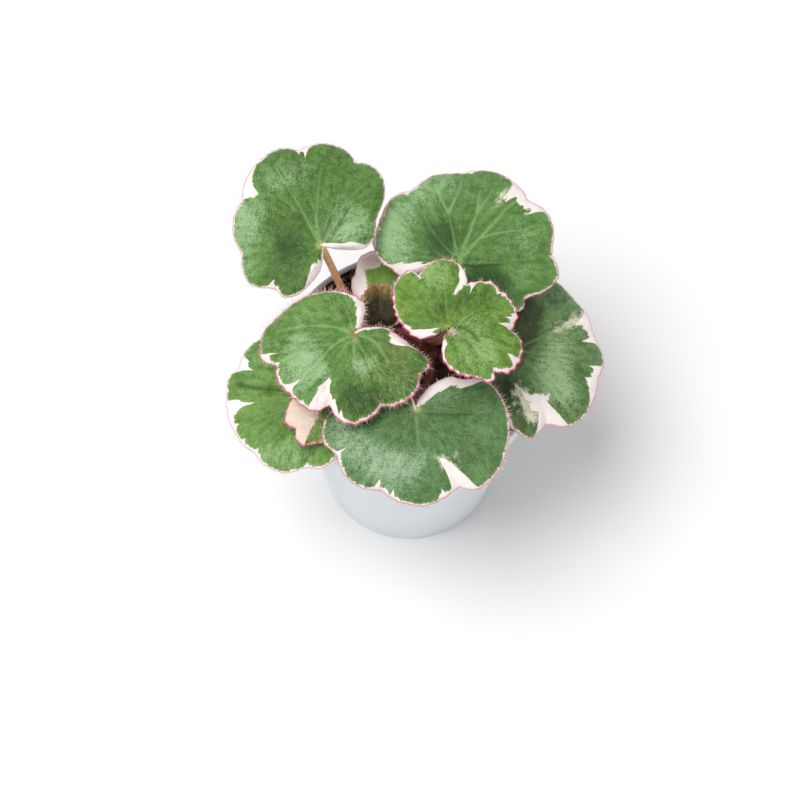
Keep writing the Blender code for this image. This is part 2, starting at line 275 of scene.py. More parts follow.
bpy.ops.object.shade_smooth_by_angle(angle=math.radians(30))

plastic = Finish("pale_plastic", IOR=1.46)
cloud = plastic.grain(14 * MM)
streak = plastic.grain(5 * MM, stretch=(1, 1, 0.12))
dust = plastic.grain(1.1 * MM, 4).rise(0.55, 0.8) * plastic.grain(18 * MM).rise(0.4, 0.75)
clean = (cloud * 0.6 + streak * 0.4).tint(tone(210, 219, 223), tone(230, 236, 238))
high = plastic.flow.node("SeparateXYZ", {}, {0: plastic.place}, "Z")
flat_place = plastic.flow.node("VectorMath", {"operation": "MULTIPLY"}, {0: plastic.place, 1: (1, 1, 0)})
radius = plastic.flow.node("VectorMath", {"operation": "LENGTH"}, {0: flat_place}, "Value")
inner = (1 - radius.rise(RIM_RADIUS - WALL - 0.25 * MM, RIM_RADIUS - WALL)) * high.rise(shelf, shelf + LIP)
splash = (high + plastic.grain(1.5 * MM, 4) * 2 * MM).rise(POT_HEIGHT - 0.1 * MM, POT_HEIGHT + 0.9 * MM)
shown = (dust * 0.45).tint(clean, tone(150, 138, 124))
plastic.feed(Base_Color=(inner * (1 - splash)).tint(shown, tone(40, 32, 27)))
plastic.feed(Roughness=0.34 + cloud * 0.12 + dust * 0.3)
plastic.relief(streak * 0.6 + plastic.grain(0.7 * MM) * 0.4, 0.04 * MM, 0.5)
finished(pot, plastic, "pot", "pot")

# The potting mix is damp peat and composted bark, poured in loose and settled below the rim. Its top is a
# rough crust of crumbs, with flat chips of brown bark lying in it, and it fills the pot to the bottom.

MIX_TOP = POT_HEIGHT - 3.4 * MM
BACK_RISE = 0.9 * MM
LUMP = 0.55 * MM
BANK = 1.5 * MM
SHOULDER = 1.2 * MM
SPARE = 0.3 * MM
MIX_RINGS = 26
CRUMB = 0.28 * MM
CRUMB_SPREAD = 0.75 * MM
CRUMB_COUNT = 1500
WALL_CRUMB_COUNT = 420
CHIP_COUNT = 110


def mix_height(x, y):
    """The top of the mix, in soft lumps, higher at the back and banked against the back left wall."""
    lumps = math.sin(x / MM * 0.71 + 1.3) * math.cos(y / MM * 0.83 + 0.4)
    lumps += 0.6 * math.sin(x / MM * 1.37 + y / MM * 1.11)
    bank = max(0, (y - x) / 1.414 / RIM_RADIUS) ** 4
    return MIX_TOP + BACK_RISE * y / RIM_RADIUS + LUMP * lumps / 1.6 + BANK * bank


mix_edge = pot_wall(MIX_TOP) - WALL - SPARE - SHOULDER
mix = turned(
    "peat_and_bark",
    [
        (0, FLOOR + SPARE),
        (pot_wall(FLOOR) - WALL - 3 * LIP, FLOOR + SPARE),
        (pot_wall(MIX_TOP - SHOULDER) - WALL - SPARE, MIX_TOP - SHOULDER),
        *[(mix_edge * (MIX_RINGS - i) / MIX_RINGS, MIX_TOP) for i in range(MIX_RINGS + 1)],
    ],
    POT_STEPS,
)
for corner in mix.data.vertices:
    if corner.co.z > MIX_TOP - SPARE:
        rough = noise.noise(corner.co / (1.6 * MM)) * 0.35 * MM
        rough += noise.noise(corner.co / (0.7 * MM)) * 0.2 * MM
        corner.co.z = mix_height(corner.co.x, corner.co.y) + rough
mix.data.shade_smooth()

peat = Finish("peat", IOR=1.4, Roughness=0.95)
dark = peat.grain(2.2 * MM, 4).tint(tone(40, 34, 29), tone(78, 62, 50))
fibre = peat.grain(0.5 * MM, 3, (1, 2.4, 1)).rise(0.58, 0.72)
peat.feed(Base_Color=(fibre * 0.5).tint(dark, tone(104, 76, 54)))
peat.relief(peat.grain(0.45 * MM, 4), 0.25 * MM)
finished(mix, peat, "potting_mix", "potting_mix")


def copied(name, shape, places, tints):
    """One mesh of many copies of a shape, each at its own place and with its own tint from 0 to 1."""
    corners = np.array([corner.co for corner in shape.vertices])
    moves = np.array([np.array(place) for place in places])
    every = np.einsum("nij,kj->nki", moves[:, :3, :3], corners) + moves[:, None, :3, 3]
    faces = [
        tuple(index + copy * len(corners) for index in face.vertices)
        for copy in range(len(places))
        for face in shape.polygons
    ]
    data = bpy.data.meshes.new(name)
    data.from_pydata(every.reshape(-1, 3).tolist(), [], faces)
    written = data.attributes.new("tint", "FLOAT", "POINT")
    written.data.foreach_set("value", np.repeat(np.array(tints, np.float32), len(corners)))
    made = bpy.data.objects.new(name, data)
    bpy.context.scene.collection.objects.link(made)
    return made


def tumbled(chance):
    """A turn about a random line, as a loose crumb lies."""
    return Matrix.Rotation(chance.uniform(0, math.tau), 4, Vector((chance.random(), 1, chance.random())))


chance = random.Random(11)
bpy.ops.object.select_all(action="DESELECT")
bpy.ops.mesh.primitive_ico_sphere_add(subdivisions=1, radius=1)
crumb = bpy.context.object
for corner in crumb.data.vertices:
    corner.co *= 1 + 0.45 * noise.noise(corner.co * 1.7)
places = []
for i in range(CRUMB_COUNT):
    turn = chance.uniform(0, math.tau)
    ring = (pot_wall(MIX_TOP) - WALL - 1.2 * MM) * math.sqrt(chance.random())
    size = CRUMB + CRUMB_SPREAD * chance.random() ** 3
    x, y = ring * math.cos(turn), ring * math.sin(turn)
    lie = tumbled(chance)
    squash = Matrix.Diagonal((size * chance.uniform(0.8, 1.6), size, size * chance.uniform(0.5, 1), 1))
    places.append(Matrix.Translation((x, y, mix_height(x, y) + 0.25 * size)) @ lie @ squash)
for i in range(WALL_CRUMB_COUNT):
    turn = math.radians(chance.gauss(135, 45))
    ring = RIM_RADIUS - WALL - chance.uniform(0.7, 2.2) * MM
    size = chance.uniform(0.3, 0.75) * MM
    x, y = ring * math.cos(turn), ring * math.sin(turn)
    high = chance.uniform(mix_height(x, y), POT_HEIGHT - 0.9 * MM)
    lie = tumbled(chance)
    squash = Matrix.Diagonal((size, size, size * chance.uniform(0.5, 1), 1))
    places.append(Matrix.Translation((x, y, high)) @ lie @ squash)
browner = [chance.random() ** (1 if i < CRUMB_COUNT else 0.35) for i in range(len(places))]
crumbs = copied("mix_crumbs", crumb.data, places, browner)
bpy.data.objects.remove(crumb, do_unlink=True)

crumble = Finish("crumbs", IOR=1.4, Roughness=0.92)
shade = crumble.written("tint")
earth = (shade * 0.8 + crumble.grain(1 * MM) * 0.2).tint(tone(38, 32, 27), tone(92, 74, 58))
crumble.feed(Base_Color=shade.rise(0.86, 0.9).tint(earth, tone(168, 128, 88)))
crumble.relief(crumble.grain(0.3 * MM, 3), 0.1 * MM)
finished(crumbs, crumble, "potting_mix")

bpy.ops.object.select_all(action="DESELECT")
bpy.ops.mesh.primitive_cube_add(size=2)
chip = bpy.context.object
bpy.ops.object.mode_set(mode="EDIT")
bpy.ops.mesh.select_all(action="SELECT")
bpy.ops.mesh.subdivide(number_cuts=1)
bpy.ops.object.mode_set(mode="OBJECT")
for corner in chip.data.vertices:
    corner.co *= 0.9 + 0.5 * noise.noise(corner.co * 1.3 + Vector((4, 0, 0)))
places = []
for i in range(CHIP_COUNT):
    turn = chance.uniform(0, math.tau)
    ring = (pot_wall(MIX_TOP) - WALL - 1.6 * MM) * chance.random() ** 0.4
    x, y = ring * math.cos(turn), ring * math.sin(turn)
    long = chance.uniform(0.6, 1.9) * MM
    lie = Matrix.Rotation(chance.uniform(0, math.tau), 4, "Z")
    lie = lie @ Matrix.Rotation(chance.gauss(0, 0.35), 4, "X")
    squash = Matrix.Diagonal((long, long * chance.uniform(0.35, 0.7), long * chance.uniform(0.14, 0.3), 1))
    places.append(Matrix.Translation((x, y, mix_height(x, y) + 0.25 * MM)) @ lie @ squash)
chips = copied("bark_chips", chip.data, places, [chance.random() for _ in places])
bpy.data.objects.remove(chip, do_unlink=True)

bark = Finish("bark", IOR=1.4, Roughness=0.8)
shade = bark.written("tint")
brown = shade.tint(tone(66, 44, 32), tone(156, 112, 74))
fibre = bark.grain(0.9 * MM, 4, (1, 1, 3)).rise(0.45, 0.7)
bark.feed(Base_Color=(fibre * 0.7).tint(brown, tone(44, 31, 25)))
bark.relief(bark.grain(0.4 * MM, 4, (1, 1, 4)), 0.15 * MM)
finished(chips, bark, "potting_mix")

# The crown is the short, brown-red rootstock. All the leaves grow from it, and it stands in the mix. Its
# surface is wrinkled, with the scars of old leaves round it.

CROWN = Vector((4.5 * MM, 2.6 * MM, 0))
CROWN_RADIUS = 3.4 * MM
CROWN_RISE = 4.5 * MM
CROWN_DEPTH = 17 * MM

crown_top = MIX_TOP + CROWN_RISE
crown_foot = MIX_TOP - CROWN_DEPTH
crown_outline = [
    (0, crown_foot),
    (CROWN_RADIUS * 0.35, crown_foot),
    (CROWN_RADIUS * 0.8, crown_foot + CROWN_DEPTH * 0.6),
    (CROWN_RADIUS, MIX_TOP),
    (CROWN_RADIUS * 0.92, crown_top - CROWN_RADIUS * 0.5),
    (CROWN_RADIUS * 0.5, crown_top),
    (0, crown_top + CROWN_RADIUS * 0.15),
]
crown = turned("rootstock", crown_outline, 40)
finer = crown.modifiers.new("finer", "SUBSURF")
finer.levels = finer.render_levels = 2
apply(crown, finer)
for corner in crown.data.vertices:
    turn = math.atan2(corner.co.y, corner.co.x)
    scar = math.sin(3 * turn + corner.co.z / (0.45 * MM))
    swell = 1 + 0.045 * scar + 0.07 * noise.noise(corner.co / (1.4 * MM))
    corner.co.x *= swell
    corner.co.y *= swell
    corner.co += CROWN
crown.data.shade_smooth()

root = Finish("brown_crown", IOR=1.42, Roughness=0.7)
root.feed(Base_Color=root.grain(1.4 * MM, 4).rise(0.3, 0.7).tint(tone(66, 32, 28), tone(124, 66, 52)))
root.relief(root.grain(0.5 * MM, 4), 0.15 * MM)
finished(crown, root, "crown", "crown")

# The leaves are fleshy, round, lobed blades on hairy round stalks. They are green with silvery patches that
# are partly painted sheen, and darkened in places with painted shade, and edged in white and pink, since the
# outer layer of the leaf has no green in it. Each blade grows out from the top of its stalk, where its veins
# meet. The back left leaf stands furthest out, on the longest stalk.

BLADE = 0.8 * MM
BLADE_EDGE = 0.3 * MM
BLADE_RINGS = 34
RING_CROWDING = 1.35
HUB_SHARE = 0.16
STALK_BASE = 1.02 * MM
STALK_TIP = 0.72 * MM
RIDE_UP = 0.3 * MM
FAINTER = 0.28 * MM
LINE_CUTS = 8
VEIN_SUNK = 0.14 * MM
VEIN_WIDTH = 0.45 * MM
SWELL_WIDTH = 2.8 * MM
CREASE_WIDTH = 0.7 * MM
NOTCH_SUNK = 0.5 * MM
NOTCH_WIDTH = 1.3 * MM
MARGIN_DROP = 0.45 * MM
RUFFLE_LENGTH = 1.6 * MM
NO_WEDGE = -9 * MM
LEAF_MAP = 80 * MM
OVER_HAIR = 0.042 * MM
FRINGE_HAIR = 0.06 * MM
STALK_HAIR = 0.04 * MM
THICK_FRINGE = 2.2
LONG_FRINGE = 1.35


def between(before, start, end, after, share):
    """A point on the smooth curve through four points, between the middle two."""
    b = end - before
    c = 2 * before - 5 * start + 4 * end - after
    d = 3 * start - before - 3 * end + after
    return (2 * start + b * share + c * share**2 + d * share**3) / 2


def polar(bearing, reach):
    """A point at a bearing in degrees from the tip, and reach millimetres from the joint."""
    turn = math.radians(bearing)
    return Vector((math.cos(turn), math.sin(turn))) * reach * MM


def smooth_line(points, cuts):
    """A smooth line through a few points, as cuts points for each stretch of it."""
    ends = [2 * points[0] - points[1]] + points + [2 * points[-1] - points[-2]]
    line = [between(*ends[i : i + 4], cut / cuts) for i in range(len(ends) - 3) for cut in range(cuts)]
    return line + [points[-1]]


class Leaf:
    """The form of one leaf. Lengths are in millimetres and angles in degrees.

    joint is where the stalk meets the blade: x, y and the height above the pot's rim. heading is the
    direction of the tip, round from +X, and the blade leans by lean towards lean_to. dome is how far the
    margin drops below the joint, and waves is (height, count, turn) of its ripple. margin runs from the
    right of the stalk round the tip to its left, as lobes of (bearing from the tip, reach from the joint),
    and each lobe ends in a notch. stalk is (bearing of its foot on the crown, height of the foot, climb and
    pull at the foot, climb and pull at the top). teeth is (height, spacing) of the fine teeth along the
    margin, and steps is about how many points the margin gets.
    """

    def __init__(self, joint, heading, lean_to, lean, dome, waves, margin, stalk, teeth, steps):
        self.joint = Vector(joint) * MM + Vector((0, 0, POT_HEIGHT))
        self.dome = dome * MM
        self.waves = waves
        self.stalk = stalk
        tilt = math.radians(lean)
        toward = math.radians(lean_to)
        course = Vector((math.cos(math.radians(heading)), math.sin(math.radians(heading)), 0))
        leant = math.sin(tilt)
        self.up = Vector((leant * math.cos(toward), leant * math.sin(toward), math.cos(tilt)))
        self.ahead = (course - self.up * course.dot(self.up)).normalized()
        self.aside = self.up.cross(self.ahead)
        self.run_margin(margin, steps)
        self.reach = sum(point.length for point in self.margin) / len(self.margin)
        self.hub = Vector((self.reach * HUB_SHARE, 0))
        self.cut_teeth(*teeth)

    def run_margin(self, lobes, steps):
        """Fills margin with points, and lobe_place with their places: 2.5 is halfway round the third."""
        spans = []
        notch = Vector((0, 0))
        for count, lobe in enumerate(lobes):
            points = [notch] + [polar(*place) for place in lobe]
            notch = points[-1]
            ends = [2 * points[0] - points[1]] + points + [2 * points[-1] - points[-2]]
            stretches = len(ends) - 3
            spans += [(count + i / stretches, 1 / stretches, ends[i : i + 4]) for i in range(stretches)]
        length = sum((ends[2] - ends[1]).length for _, _, ends in spans)
        self.margin = []
        self.lobe_place = []
        for first, share, ends in spans:
            cuts = max(1, round(steps * (ends[2] - ends[1]).length / length))
            self.margin += [between(*ends, cut / cuts) for cut in range(cuts)]
            self.lobe_place += [first + share * cut / cuts for cut in range(cuts)]

    def cut_teeth(self, height, spacing):
        """Draws the margin out into fine points, but not in the fold beside the stalk."""
        run = 0
        before = self.margin[0]
        self.teeth = []
        for point in self.margin:
            run += (point - before).length
            before = point
            share = run / (spacing * MM) % 1
            point_up = (1 - 2 * abs(share - 0.5)) ** 1.6
            away = min(1, point.length / (0.4 * self.reach))
            self.teeth.append(height * MM * point_up * away)
        spokes = zip(self.margin, self.teeth)
        self.margin = [point + (point - self.hub).normalized() * tooth for point, tooth in spokes]

    def height(self, u, v):
        """How far the blade's middle surface stands above its own plane. u and v may be arrays."""
        share = (u * u + v * v) / self.reach**2
        high, count, turn = self.waves
        ripple = high * MM * np.cos(count * np.arctan2(v, u) - math.radians(turn))
        return share * (ripple - self.dome)

    def placed(self, u, v, height):
        """Points u ahead of the joint, v aside and height above the blade's plane, as an array."""
        axes = np.array([self.ahead, self.aside, self.up])
        return np.array(self.joint) + np.stack([u, v, height], axis=1) @ axes


def nearest_line(points, lines):
    """For each point, its distance from the nearest of some lines, and the share of that line passed."""
    best = np.full(len(points), 1.0)
    passed = np.zeros(len(points))
    for line in lines:
        line = np.array(line)
        for i, (start, end) in enumerate(zip(line, line[1:])):
            way = end - start
            share = np.clip((points - start) @ way / (way @ way), 0, 1)
            distance = np.linalg.norm(points - start - share[:, None] * way, axis=1)
            nearer = distance < best
            best[nearer] = distance[nearer]
            passed[nearer] = (i + share[nearer]) / (len(line) - 1)
    return best, passed


def leaf_lines(lines):
    """Smooth lines over a blade, each drawn through a few places of (bearing, reach)."""
    return [smooth_line([polar(*place) for place in line], LINE_CUTS) for line in lines]


def bell(distance, width):
    """1 on a line and falling away smoothly beside it."""
    return np.exp(-((distance / width) ** 2))


def steps_up(values, low, high):
    """0 below low and 1 above high, with a smooth step between, for an array."""
    share = np.clip((values - low) / (high - low), 0, 1)
    return share * share * (3 - 2 * share)


def write(mesh, name, values):
    """Writes one value for each point of a mesh, which its finish reads by name."""
    mesh.attributes.new(name, "FLOAT", "POINT").data.foreach_set("value", np.asarray(values, np.float32))


def draw_blade(name, leaf):
    """A flat blade: a ring of points on the margin, extruded and shrunk again and again towards the hub."""
    bpy.ops.object.select_all(action="DESELECT")
    bpy.ops.mesh.primitive_circle_add(vertices=len(leaf.margin), radius=MM)
    blade = bpy.context.object
    blade.name = blade.data.name = name
    blade.data.vertices.foreach_set("co", np.array([(*point, 0) for point in leaf.margin]).ravel())
    order = blade.data.attributes.new("order", "INT", "POINT")
    order.data.foreach_set("value", range(len(leaf.margin)))
    bpy.ops.object.mode_set(mode="EDIT")
    bpy.ops.mesh.select_all(action="SELECT")
    size = 1
    for ring in range(1, BLADE_RINGS):
        smaller = 1 - (ring / BLADE_RINGS) ** RING_CROWDING
        shrink = smaller / size
        bpy.ops.mesh.extrude_edges_move()
        bpy.ops.transform.resize(value=(shrink, shrink, 1), center_override=(*leaf.hub, 0))
        size = smaller
    bpy.ops.mesh.extrude_edges_move()
    bpy.ops.mesh.merge(type="CENTER")
    bpy.ops.object.mode_set(mode="OBJECT")
    if sum(face.normal.z for face in blade.data.polygons) < 0:
        blade.data.flip_normals()
    in_order(blade)
    return blade


def soft_patches(flat, patches):
    """How strongly soft round patches, each (ahead, aside, size, share), show at each point."""
    total = np.zeros(len(flat))
    for ahead, aside, size, share in patches:
        squares = ((flat - np.array((ahead, aside)) * MM) ** 2).sum(axis=1)
        total += share * np.exp(-squares / (size * MM) ** 2)
    return total


def with_wedges(values, flat, wedges):
    """Raises values, how far each point lies inside a colour's edge, where a wedge of it runs in."""
    for start, end, wide, narrow in wedges:
        distance, passed = nearest_line(flat, [np.array([start, end]) * MM])
        values = np.maximum(values, (wide + (narrow - wide) * passed) * MM - distance)
    return values


def shape_blade(
    name, leaf, white, veins, faint, silver_and_painted_light, pucker, ruffle, seed, streaks=(), pale=(), creases=(), aged=()
):
    """The blade, drawn flat and raised to its dished form with sunken veins, before it is thickened.

    white is how far the white reaches in from the margin, as (lobe place, millimetres). streaks and pale
    are white and pale green wedges, as (start, end, half width at the start, half width at the end) in
    millimetres ahead and aside. veins and faint are lines of (bearing, reach), and creases are (depth, such
    a line), each also darkened along its line with painted shade. The soft patches given after faint are
    silvery colour with painted sheen and highlights, and those with a share below 0 are painted shade with
    some darker leaf colour. aged is soft patches that have lost their fresh green. pucker is how far the
    blade swells between its veins, and ruffle the height of its margin's waves.
    """
    blade = draw_blade(name, leaf)
    mesh = blade.data
    chance = np.random.default_rng(seed)
    flat = np.zeros(len(mesh.vertices) * 3)
    mesh.vertices.foreach_get("co", flat)
    flat = flat.reshape(-1, 3)[:, :2]
    order = np.zeros(len(mesh.vertices), int)
    mesh.attributes["order"].data.foreach_get("value", order)
    mesh.attributes.remove(mesh.attributes["order"])

    hub = np.array(leaf.hub)
    spoke = np.linalg.norm(np.array(leaf.margin)[order] - hub, axis=1)
    depth = spoke - np.linalg.norm(flat - hub, axis=1)
    reach = np.interp(leaf.lobe_place, [place for place, _ in white], [far for _, far in white]) * MM
    jag = chance.uniform(-1, 1, len(reach))
    jag = 0.7 * jag + 0.6 * np.roll(jag, 1)
    reach += jag * (0.1 * MM + 0.11 * np.minimum(reach, 3 * MM))
    whiteness = with_wedges((reach + np.array(leaf.teeth))[order] - depth, flat, streaks)
    paleness = with_wedges(np.full(len(flat), NO_WEDGE), flat, pale)
    distance, passed = nearest_line(flat, leaf_lines(veins))
    aside, share = nearest_line(flat, leaf_lines(faint))
    fainter = aside + FAINTER < distance
    distance[fainter] = aside[fainter] + FAINTER
    passed[fainter] = share[fainter]

    inside = steps_up(depth, 0.2 * MM, 3 * MM)
    u, v = flat.T
    height = leaf.height(u, v)
    height -= VEIN_SUNK * bell(distance, VEIN_WIDTH) * inside * (1 - 0.7 * passed)
    height += pucker * MM * (1 - bell(distance, SWELL_WIDTH)) * inside
    shaded = np.zeros(len(flat))
    # Each crease is sunk into the blade and marked for painted shade along its line.
    for sunk, crease in creases:
        near, along = nearest_line(flat, leaf_lines([crease]))
        valley = bell(near, CREASE_WIDTH) * steps_up(along, 0, 0.15) * (1 - steps_up(along, 0.8, 1))
        height -= sunk * MM * valley
        shaded += valley * min(1, sunk / 0.4)
    for swell, size in ((0.8, 4.5), (0.35, 1.5)):
        swells = [noise.noise(Vector((x, y, seed * MM)) / (size * MM)) for x, y in flat]
        height += swell * pucker * MM * np.array(swells) * inside
    rim = zip(leaf.margin, leaf.lobe_place)
    notches = [np.array(point) for point, place in rim if place in range(1, 9)]
    fold, fold_passed = nearest_line(flat, [np.array([0.35 * notch, notch]) for notch in notches])
    height -= NOTCH_SUNK * bell(fold, NOTCH_WIDTH) * fold_passed
    height -= MARGIN_DROP * (1 - steps_up(depth, -0.6 * MM, 2.6 * MM))
    runs = np.cumsum(np.linalg.norm(np.diff(np.array(leaf.margin), axis=0, prepend=0), axis=1))[order]
    height += ruffle * MM * np.sin(runs / RUFFLE_LENGTH + seed) * (1 - steps_up(depth, 0, 3.5 * MM))
    mesh.vertices.foreach_set("co", leaf.placed(u, v, height).ravel())
    mesh.update()

    write(mesh, "white", whiteness / MM)
    write(mesh, "pale", paleness / MM)
    write(mesh, "vein", (distance + 0.55 * MM * passed) / MM)
    # The soft patches are silvery colour with painted sheen and highlights, and below 0 painted shade.
    write(mesh, "silver_and_painted_light", soft_patches(flat, silver_and_painted_light))
    write(mesh, "aged", soft_patches(flat, aged))
    write(mesh, "crease", shaded)
    write(mesh, "depth", depth / MM)
    write(mesh, "from_joint", np.hypot(u, v) / MM)
    places = np.zeros(len(mesh.loops), int)
    mesh.loops.foreach_get("vertex_index", places)
    mesh.uv_layers[0].data.foreach_set("uv", (flat[places] / LEAF_MAP + 0.5).ravel())
    return blade


def thicken(blade):
    """Gives the drawn blade its thickness, thinner towards the margin."""
    mesh = blade.data
    depth = np.zeros(len(mesh.vertices))
    mesh.attributes["depth"].data.foreach_get("value", depth)
    flesh = blade.vertex_groups.new(name="flesh")
    for index, share in enumerate(steps_up(depth, -0.8, 1.6)):
        flesh.add([index], float(share), "REPLACE")
    wall = blade.modifiers.new("flesh", "SOLIDIFY")
    wall.thickness = BLADE
    wall.offset = 0
    wall.vertex_group = "flesh"
    wall.thickness_vertex_group = BLADE_EDGE / BLADE
    wall.material_offset = 1
    apply(blade, wall)
    bpy.ops.object.shade_smooth()
    blade.vertex_groups.clear()


MINT = tone(158, 196, 140)
BLUE_MINT = tone(160, 192, 152)
# The tint of painted shade.
PAINTED_SHADE = (0.018, 0.06, 0.008, 1)
IVORY = tone(254, 249, 243)
SPECK = tone(36, 60, 32)
PALE_GREEN = tone(226, 224, 196)
LIME = tone(160, 190, 100)
ROSE = tone(240, 186, 194)
SOFT_PINK = tone(238, 160, 184)
PINK = tone(210, 72, 124)


def leaf_rays(skin, across, along):
    """Noise drawn out into streaks from a leaf's joint to its margin. The UV map is LEAF_MAP across."""
    flat = skin.flow.node("TexCoord", {}, {}, "UV")
    parts = [skin.flow.node("SeparateXYZ", {}, {0: flat}, axis) - 0.5 for axis in "XY"]
    turn = skin.flow.node("Math", {"operation": "ARCTAN2"}, {0: parts[1], 1: parts[0]})
    reach = skin.flow.node("VectorMath", {"operation": "DISTANCE"}, {0: flat, 1: (0.5, 0.5, 0)}, "Value")
    place = skin.flow.node("CombineXYZ", {}, {"X": turn * across, "Y": reach * (LEAF_MAP / along)})
    return skin.flow.node("TexNoise", {}, {"Vector": place, "Scale": 1, "Detail": 2})


def leaf_finish(name, light, deep, vein, heart, shown, pink, blush, sheen=MINT, shade=PAINTED_SHADE, ivory=IVORY):
    """The top of a blade, mottled from light to deep.

    heart is its colour over the stalk and where it has aged. shown is how much its veins stand out, pink
    how strong the colour of its very edge is, and blush how rosy its white is. sheen is the tint of its
    silvery patches, which are partly the leaf's own silvering and partly painted sheen and highlights.
    shade is the tint of painted shade: in its darker patches, where it mixes with darker leaf colour,
    beside its veins and in its creases. ivory is its white.
    """
    skin = Finish(name, IOR=1.4, Specular_IOR_Level=0.42)
    broad = skin.grain(9 * MM)
    mottle = skin.grain(1.7 * MM, 3)
    fine = skin.grain(0.45 * MM, 3)
    grit = skin.grain(0.3 * MM)
    rays = leaf_rays(skin, 13, 4 * MM)
    pebble = 1 - skin.cells(0.6 * MM).rise(0.15, 0.7)
    dots = (1 - skin.cells(0.95 * MM).rise(0.08, 0.24)) * skin.grain(2.5 * MM).rise(0.42, 0.58)
    patch = skin.written("silver_and_painted_light")
    line = skin.written("vein") + (fine - 0.5) * 0.4
    body = (broad * 1.4 + mottle * 1.8 + fine * 1.6 + rays * 1.8 - 2.75).tint(deep, light)
    streaky = rays * 1.3 + mottle * 0.9 + fine * 1.7 + grit - 1.55
    # The silvery patches are partly the leaf's own silvering and partly painted sheen and highlights.
    silver_and_painted_light = (patch * streaky + (fine + grit - 1) * 0.5 - dots * 0.15).rise(0.12, 1.25)
    body = silver_and_painted_light.tint(body, sheen)
    # Pale granules, partly painted glints on the tops of the pebbled bumps.
    body = ((pebble + fine + mottle - 1.2) * 0.25).tint(body, vein)
    body = (dots * 0.6 + (grit - 0.54) * 1.6).tint(body, SPECK)
    # Painted shade where the soft patches fall below 0, with some darker leaf colour in it.
    body = ((0 - patch - (mottle - 0.5) * 0.3).rise(0.05, 1.1) * 0.85).tint(body, shade)
    # Painted shade beside the veins, then a paler band along them that is partly painted highlight on their
    # ridges, then the veins' own colour.
    body = (line.rise(0.7, 1.1) * (1 - line.rise(1.1, 2.2)) * shown * 0.25).tint(body, shade)
    body = ((1 - line.rise(0.3, 0.9)) * shown * 0.4).tint(body, sheen)
    body = ((1 - line.rise(0.05, 0.6)) * shown).tint(body, vein)
    # Painted shade in the creases.
    body = (skin.written("crease") * 0.65).tint(body, shade)
    joint = 1 - (skin.written("from_joint") + fine).rise(0.8, 2.4)
    body = (joint * 0.8).tint(body, heart)
    body = (skin.written("aged") * (mottle + 0.5)).rise(0, 1).tint(body, heart)

    ragged = leaf_rays(skin, 36, 2 * MM) * 1.6 + fine * 0.5 + rays * 0.6 - 1.35
    pale = (skin.written("pale") + ragged * 1.5 + (mottle - 0.5) * 5).rise(-1.4, 0.9)
    body = (pale * (rays + fine * 1.6 - 0.4)).tint(body, PALE_GREEN)
    white = skin.written("white") + ragged * 0.8
    body = (white.rise(-0.7, 0.05) * 0.4).tint(body, LIME)
    rose = (skin.grain(2.4 * MM, 3) * 0.7 + fine * 0.9 - 0.45) * blush
    cream = rose.tint(ivory, ROSE)
    body = white.rise(-0.1, 0.12).tint(body, cream)
    depth = skin.written("depth") + (skin.grain(1.6 * MM) - 0.5) * 0.35
    rosy = (1 - depth.rise(0.1, 0.95)) * white.rise(-0.1, 0.3)
    body = (rosy * (0.2 + pink * 0.35)).tint(body, SOFT_PINK)
    edge = 1 - depth.rise(0.1 + 0.14 * pink, 0.26 + 0.28 * pink)
    # The pink edge is dimmed where painted shade lies on it.
    dimmed_in_painted_shade = 1 - (0 - patch).rise(0.4, 0.8) * 0.8
    skin.feed(Base_Color=(edge * dimmed_in_painted_shade * (0.35 + 0.6 * pink)).tint(body, PINK))
    skin.feed(Roughness=0.4 - patch.rise(0, 1) * 0.08 + fine * 0.2)
    rough = (pebble * 0.6 + fine * 0.7 + grit * 0.4 - dots * 0.5) * (1 - white.rise(-0.1, 0.12) * 0.6)
    skin.relief(rough + skin.grain(1.1 * MM) * 2.2, 0.15 * MM, 0.9)
    return skin


under = Finish("leaf_underside", IOR=1.4)
faded = under.written("white").rise(-0.3, 0.3)
back = under.grain(2.6 * MM, 3).rise(0.3, 0.75).tint(tone(122, 132, 86), tone(150, 92, 92))
back = ((1 - under.written("vein").rise(0.1, 0.7)) * 0.6).tint(back, tone(176, 110, 104))
back = faded.tint(back, tone(232, 206, 202))
under.feed(Base_Color=((1 - under.written("depth").rise(0.05, 0.3)) * 0.6).tint(back, tone(206, 98, 132)))
under.feed(Roughness=0.5 + under.grain(0.6 * MM) * 0.2)
under.relief(under.cells(0.8 * MM) * -0.6 + under.grain(0.5 * MM) * 0.4, 0.1 * MM, 0.7)


def stalk_ends(leaf):
    """The stalk's two ends, let into the crown and the blade, each with the direction of growth there."""
    bearing, lift, foot_climb, _, top_climb, _ = leaf.stalk
    turn = math.radians(bearing)
    outward = Vector((math.cos(turn), math.sin(turn), 0))
    climb = math.radians(foot_climb)
    start_way = outward * math.cos(climb) + Vector((0, 0, math.sin(climb)))
    middle = CROWN + Vector((0, 0, MIX_TOP + lift * MM))
    crown_width = 0
    for (below, low), (above, high) in zip(crown_outline, crown_outline[1:]):
        if low < middle.z <= high:
            crown_width = below + (above - below) * (middle.z - low) / (high - low)
    start = middle + outward * (crown_width + STALK_BASE * start_way.z - RIDE_UP)
    climb = math.radians(top_climb)
    end_way = leaf.ahead * math.cos(climb) + leaf.up * math.sin(climb)
    end = leaf.joint - leaf.up * STALK_TIP * math.cos(climb) * 0.8 - leaf.ahead * STALK_TIP * 0.3
    return start, start_way, end, end_way


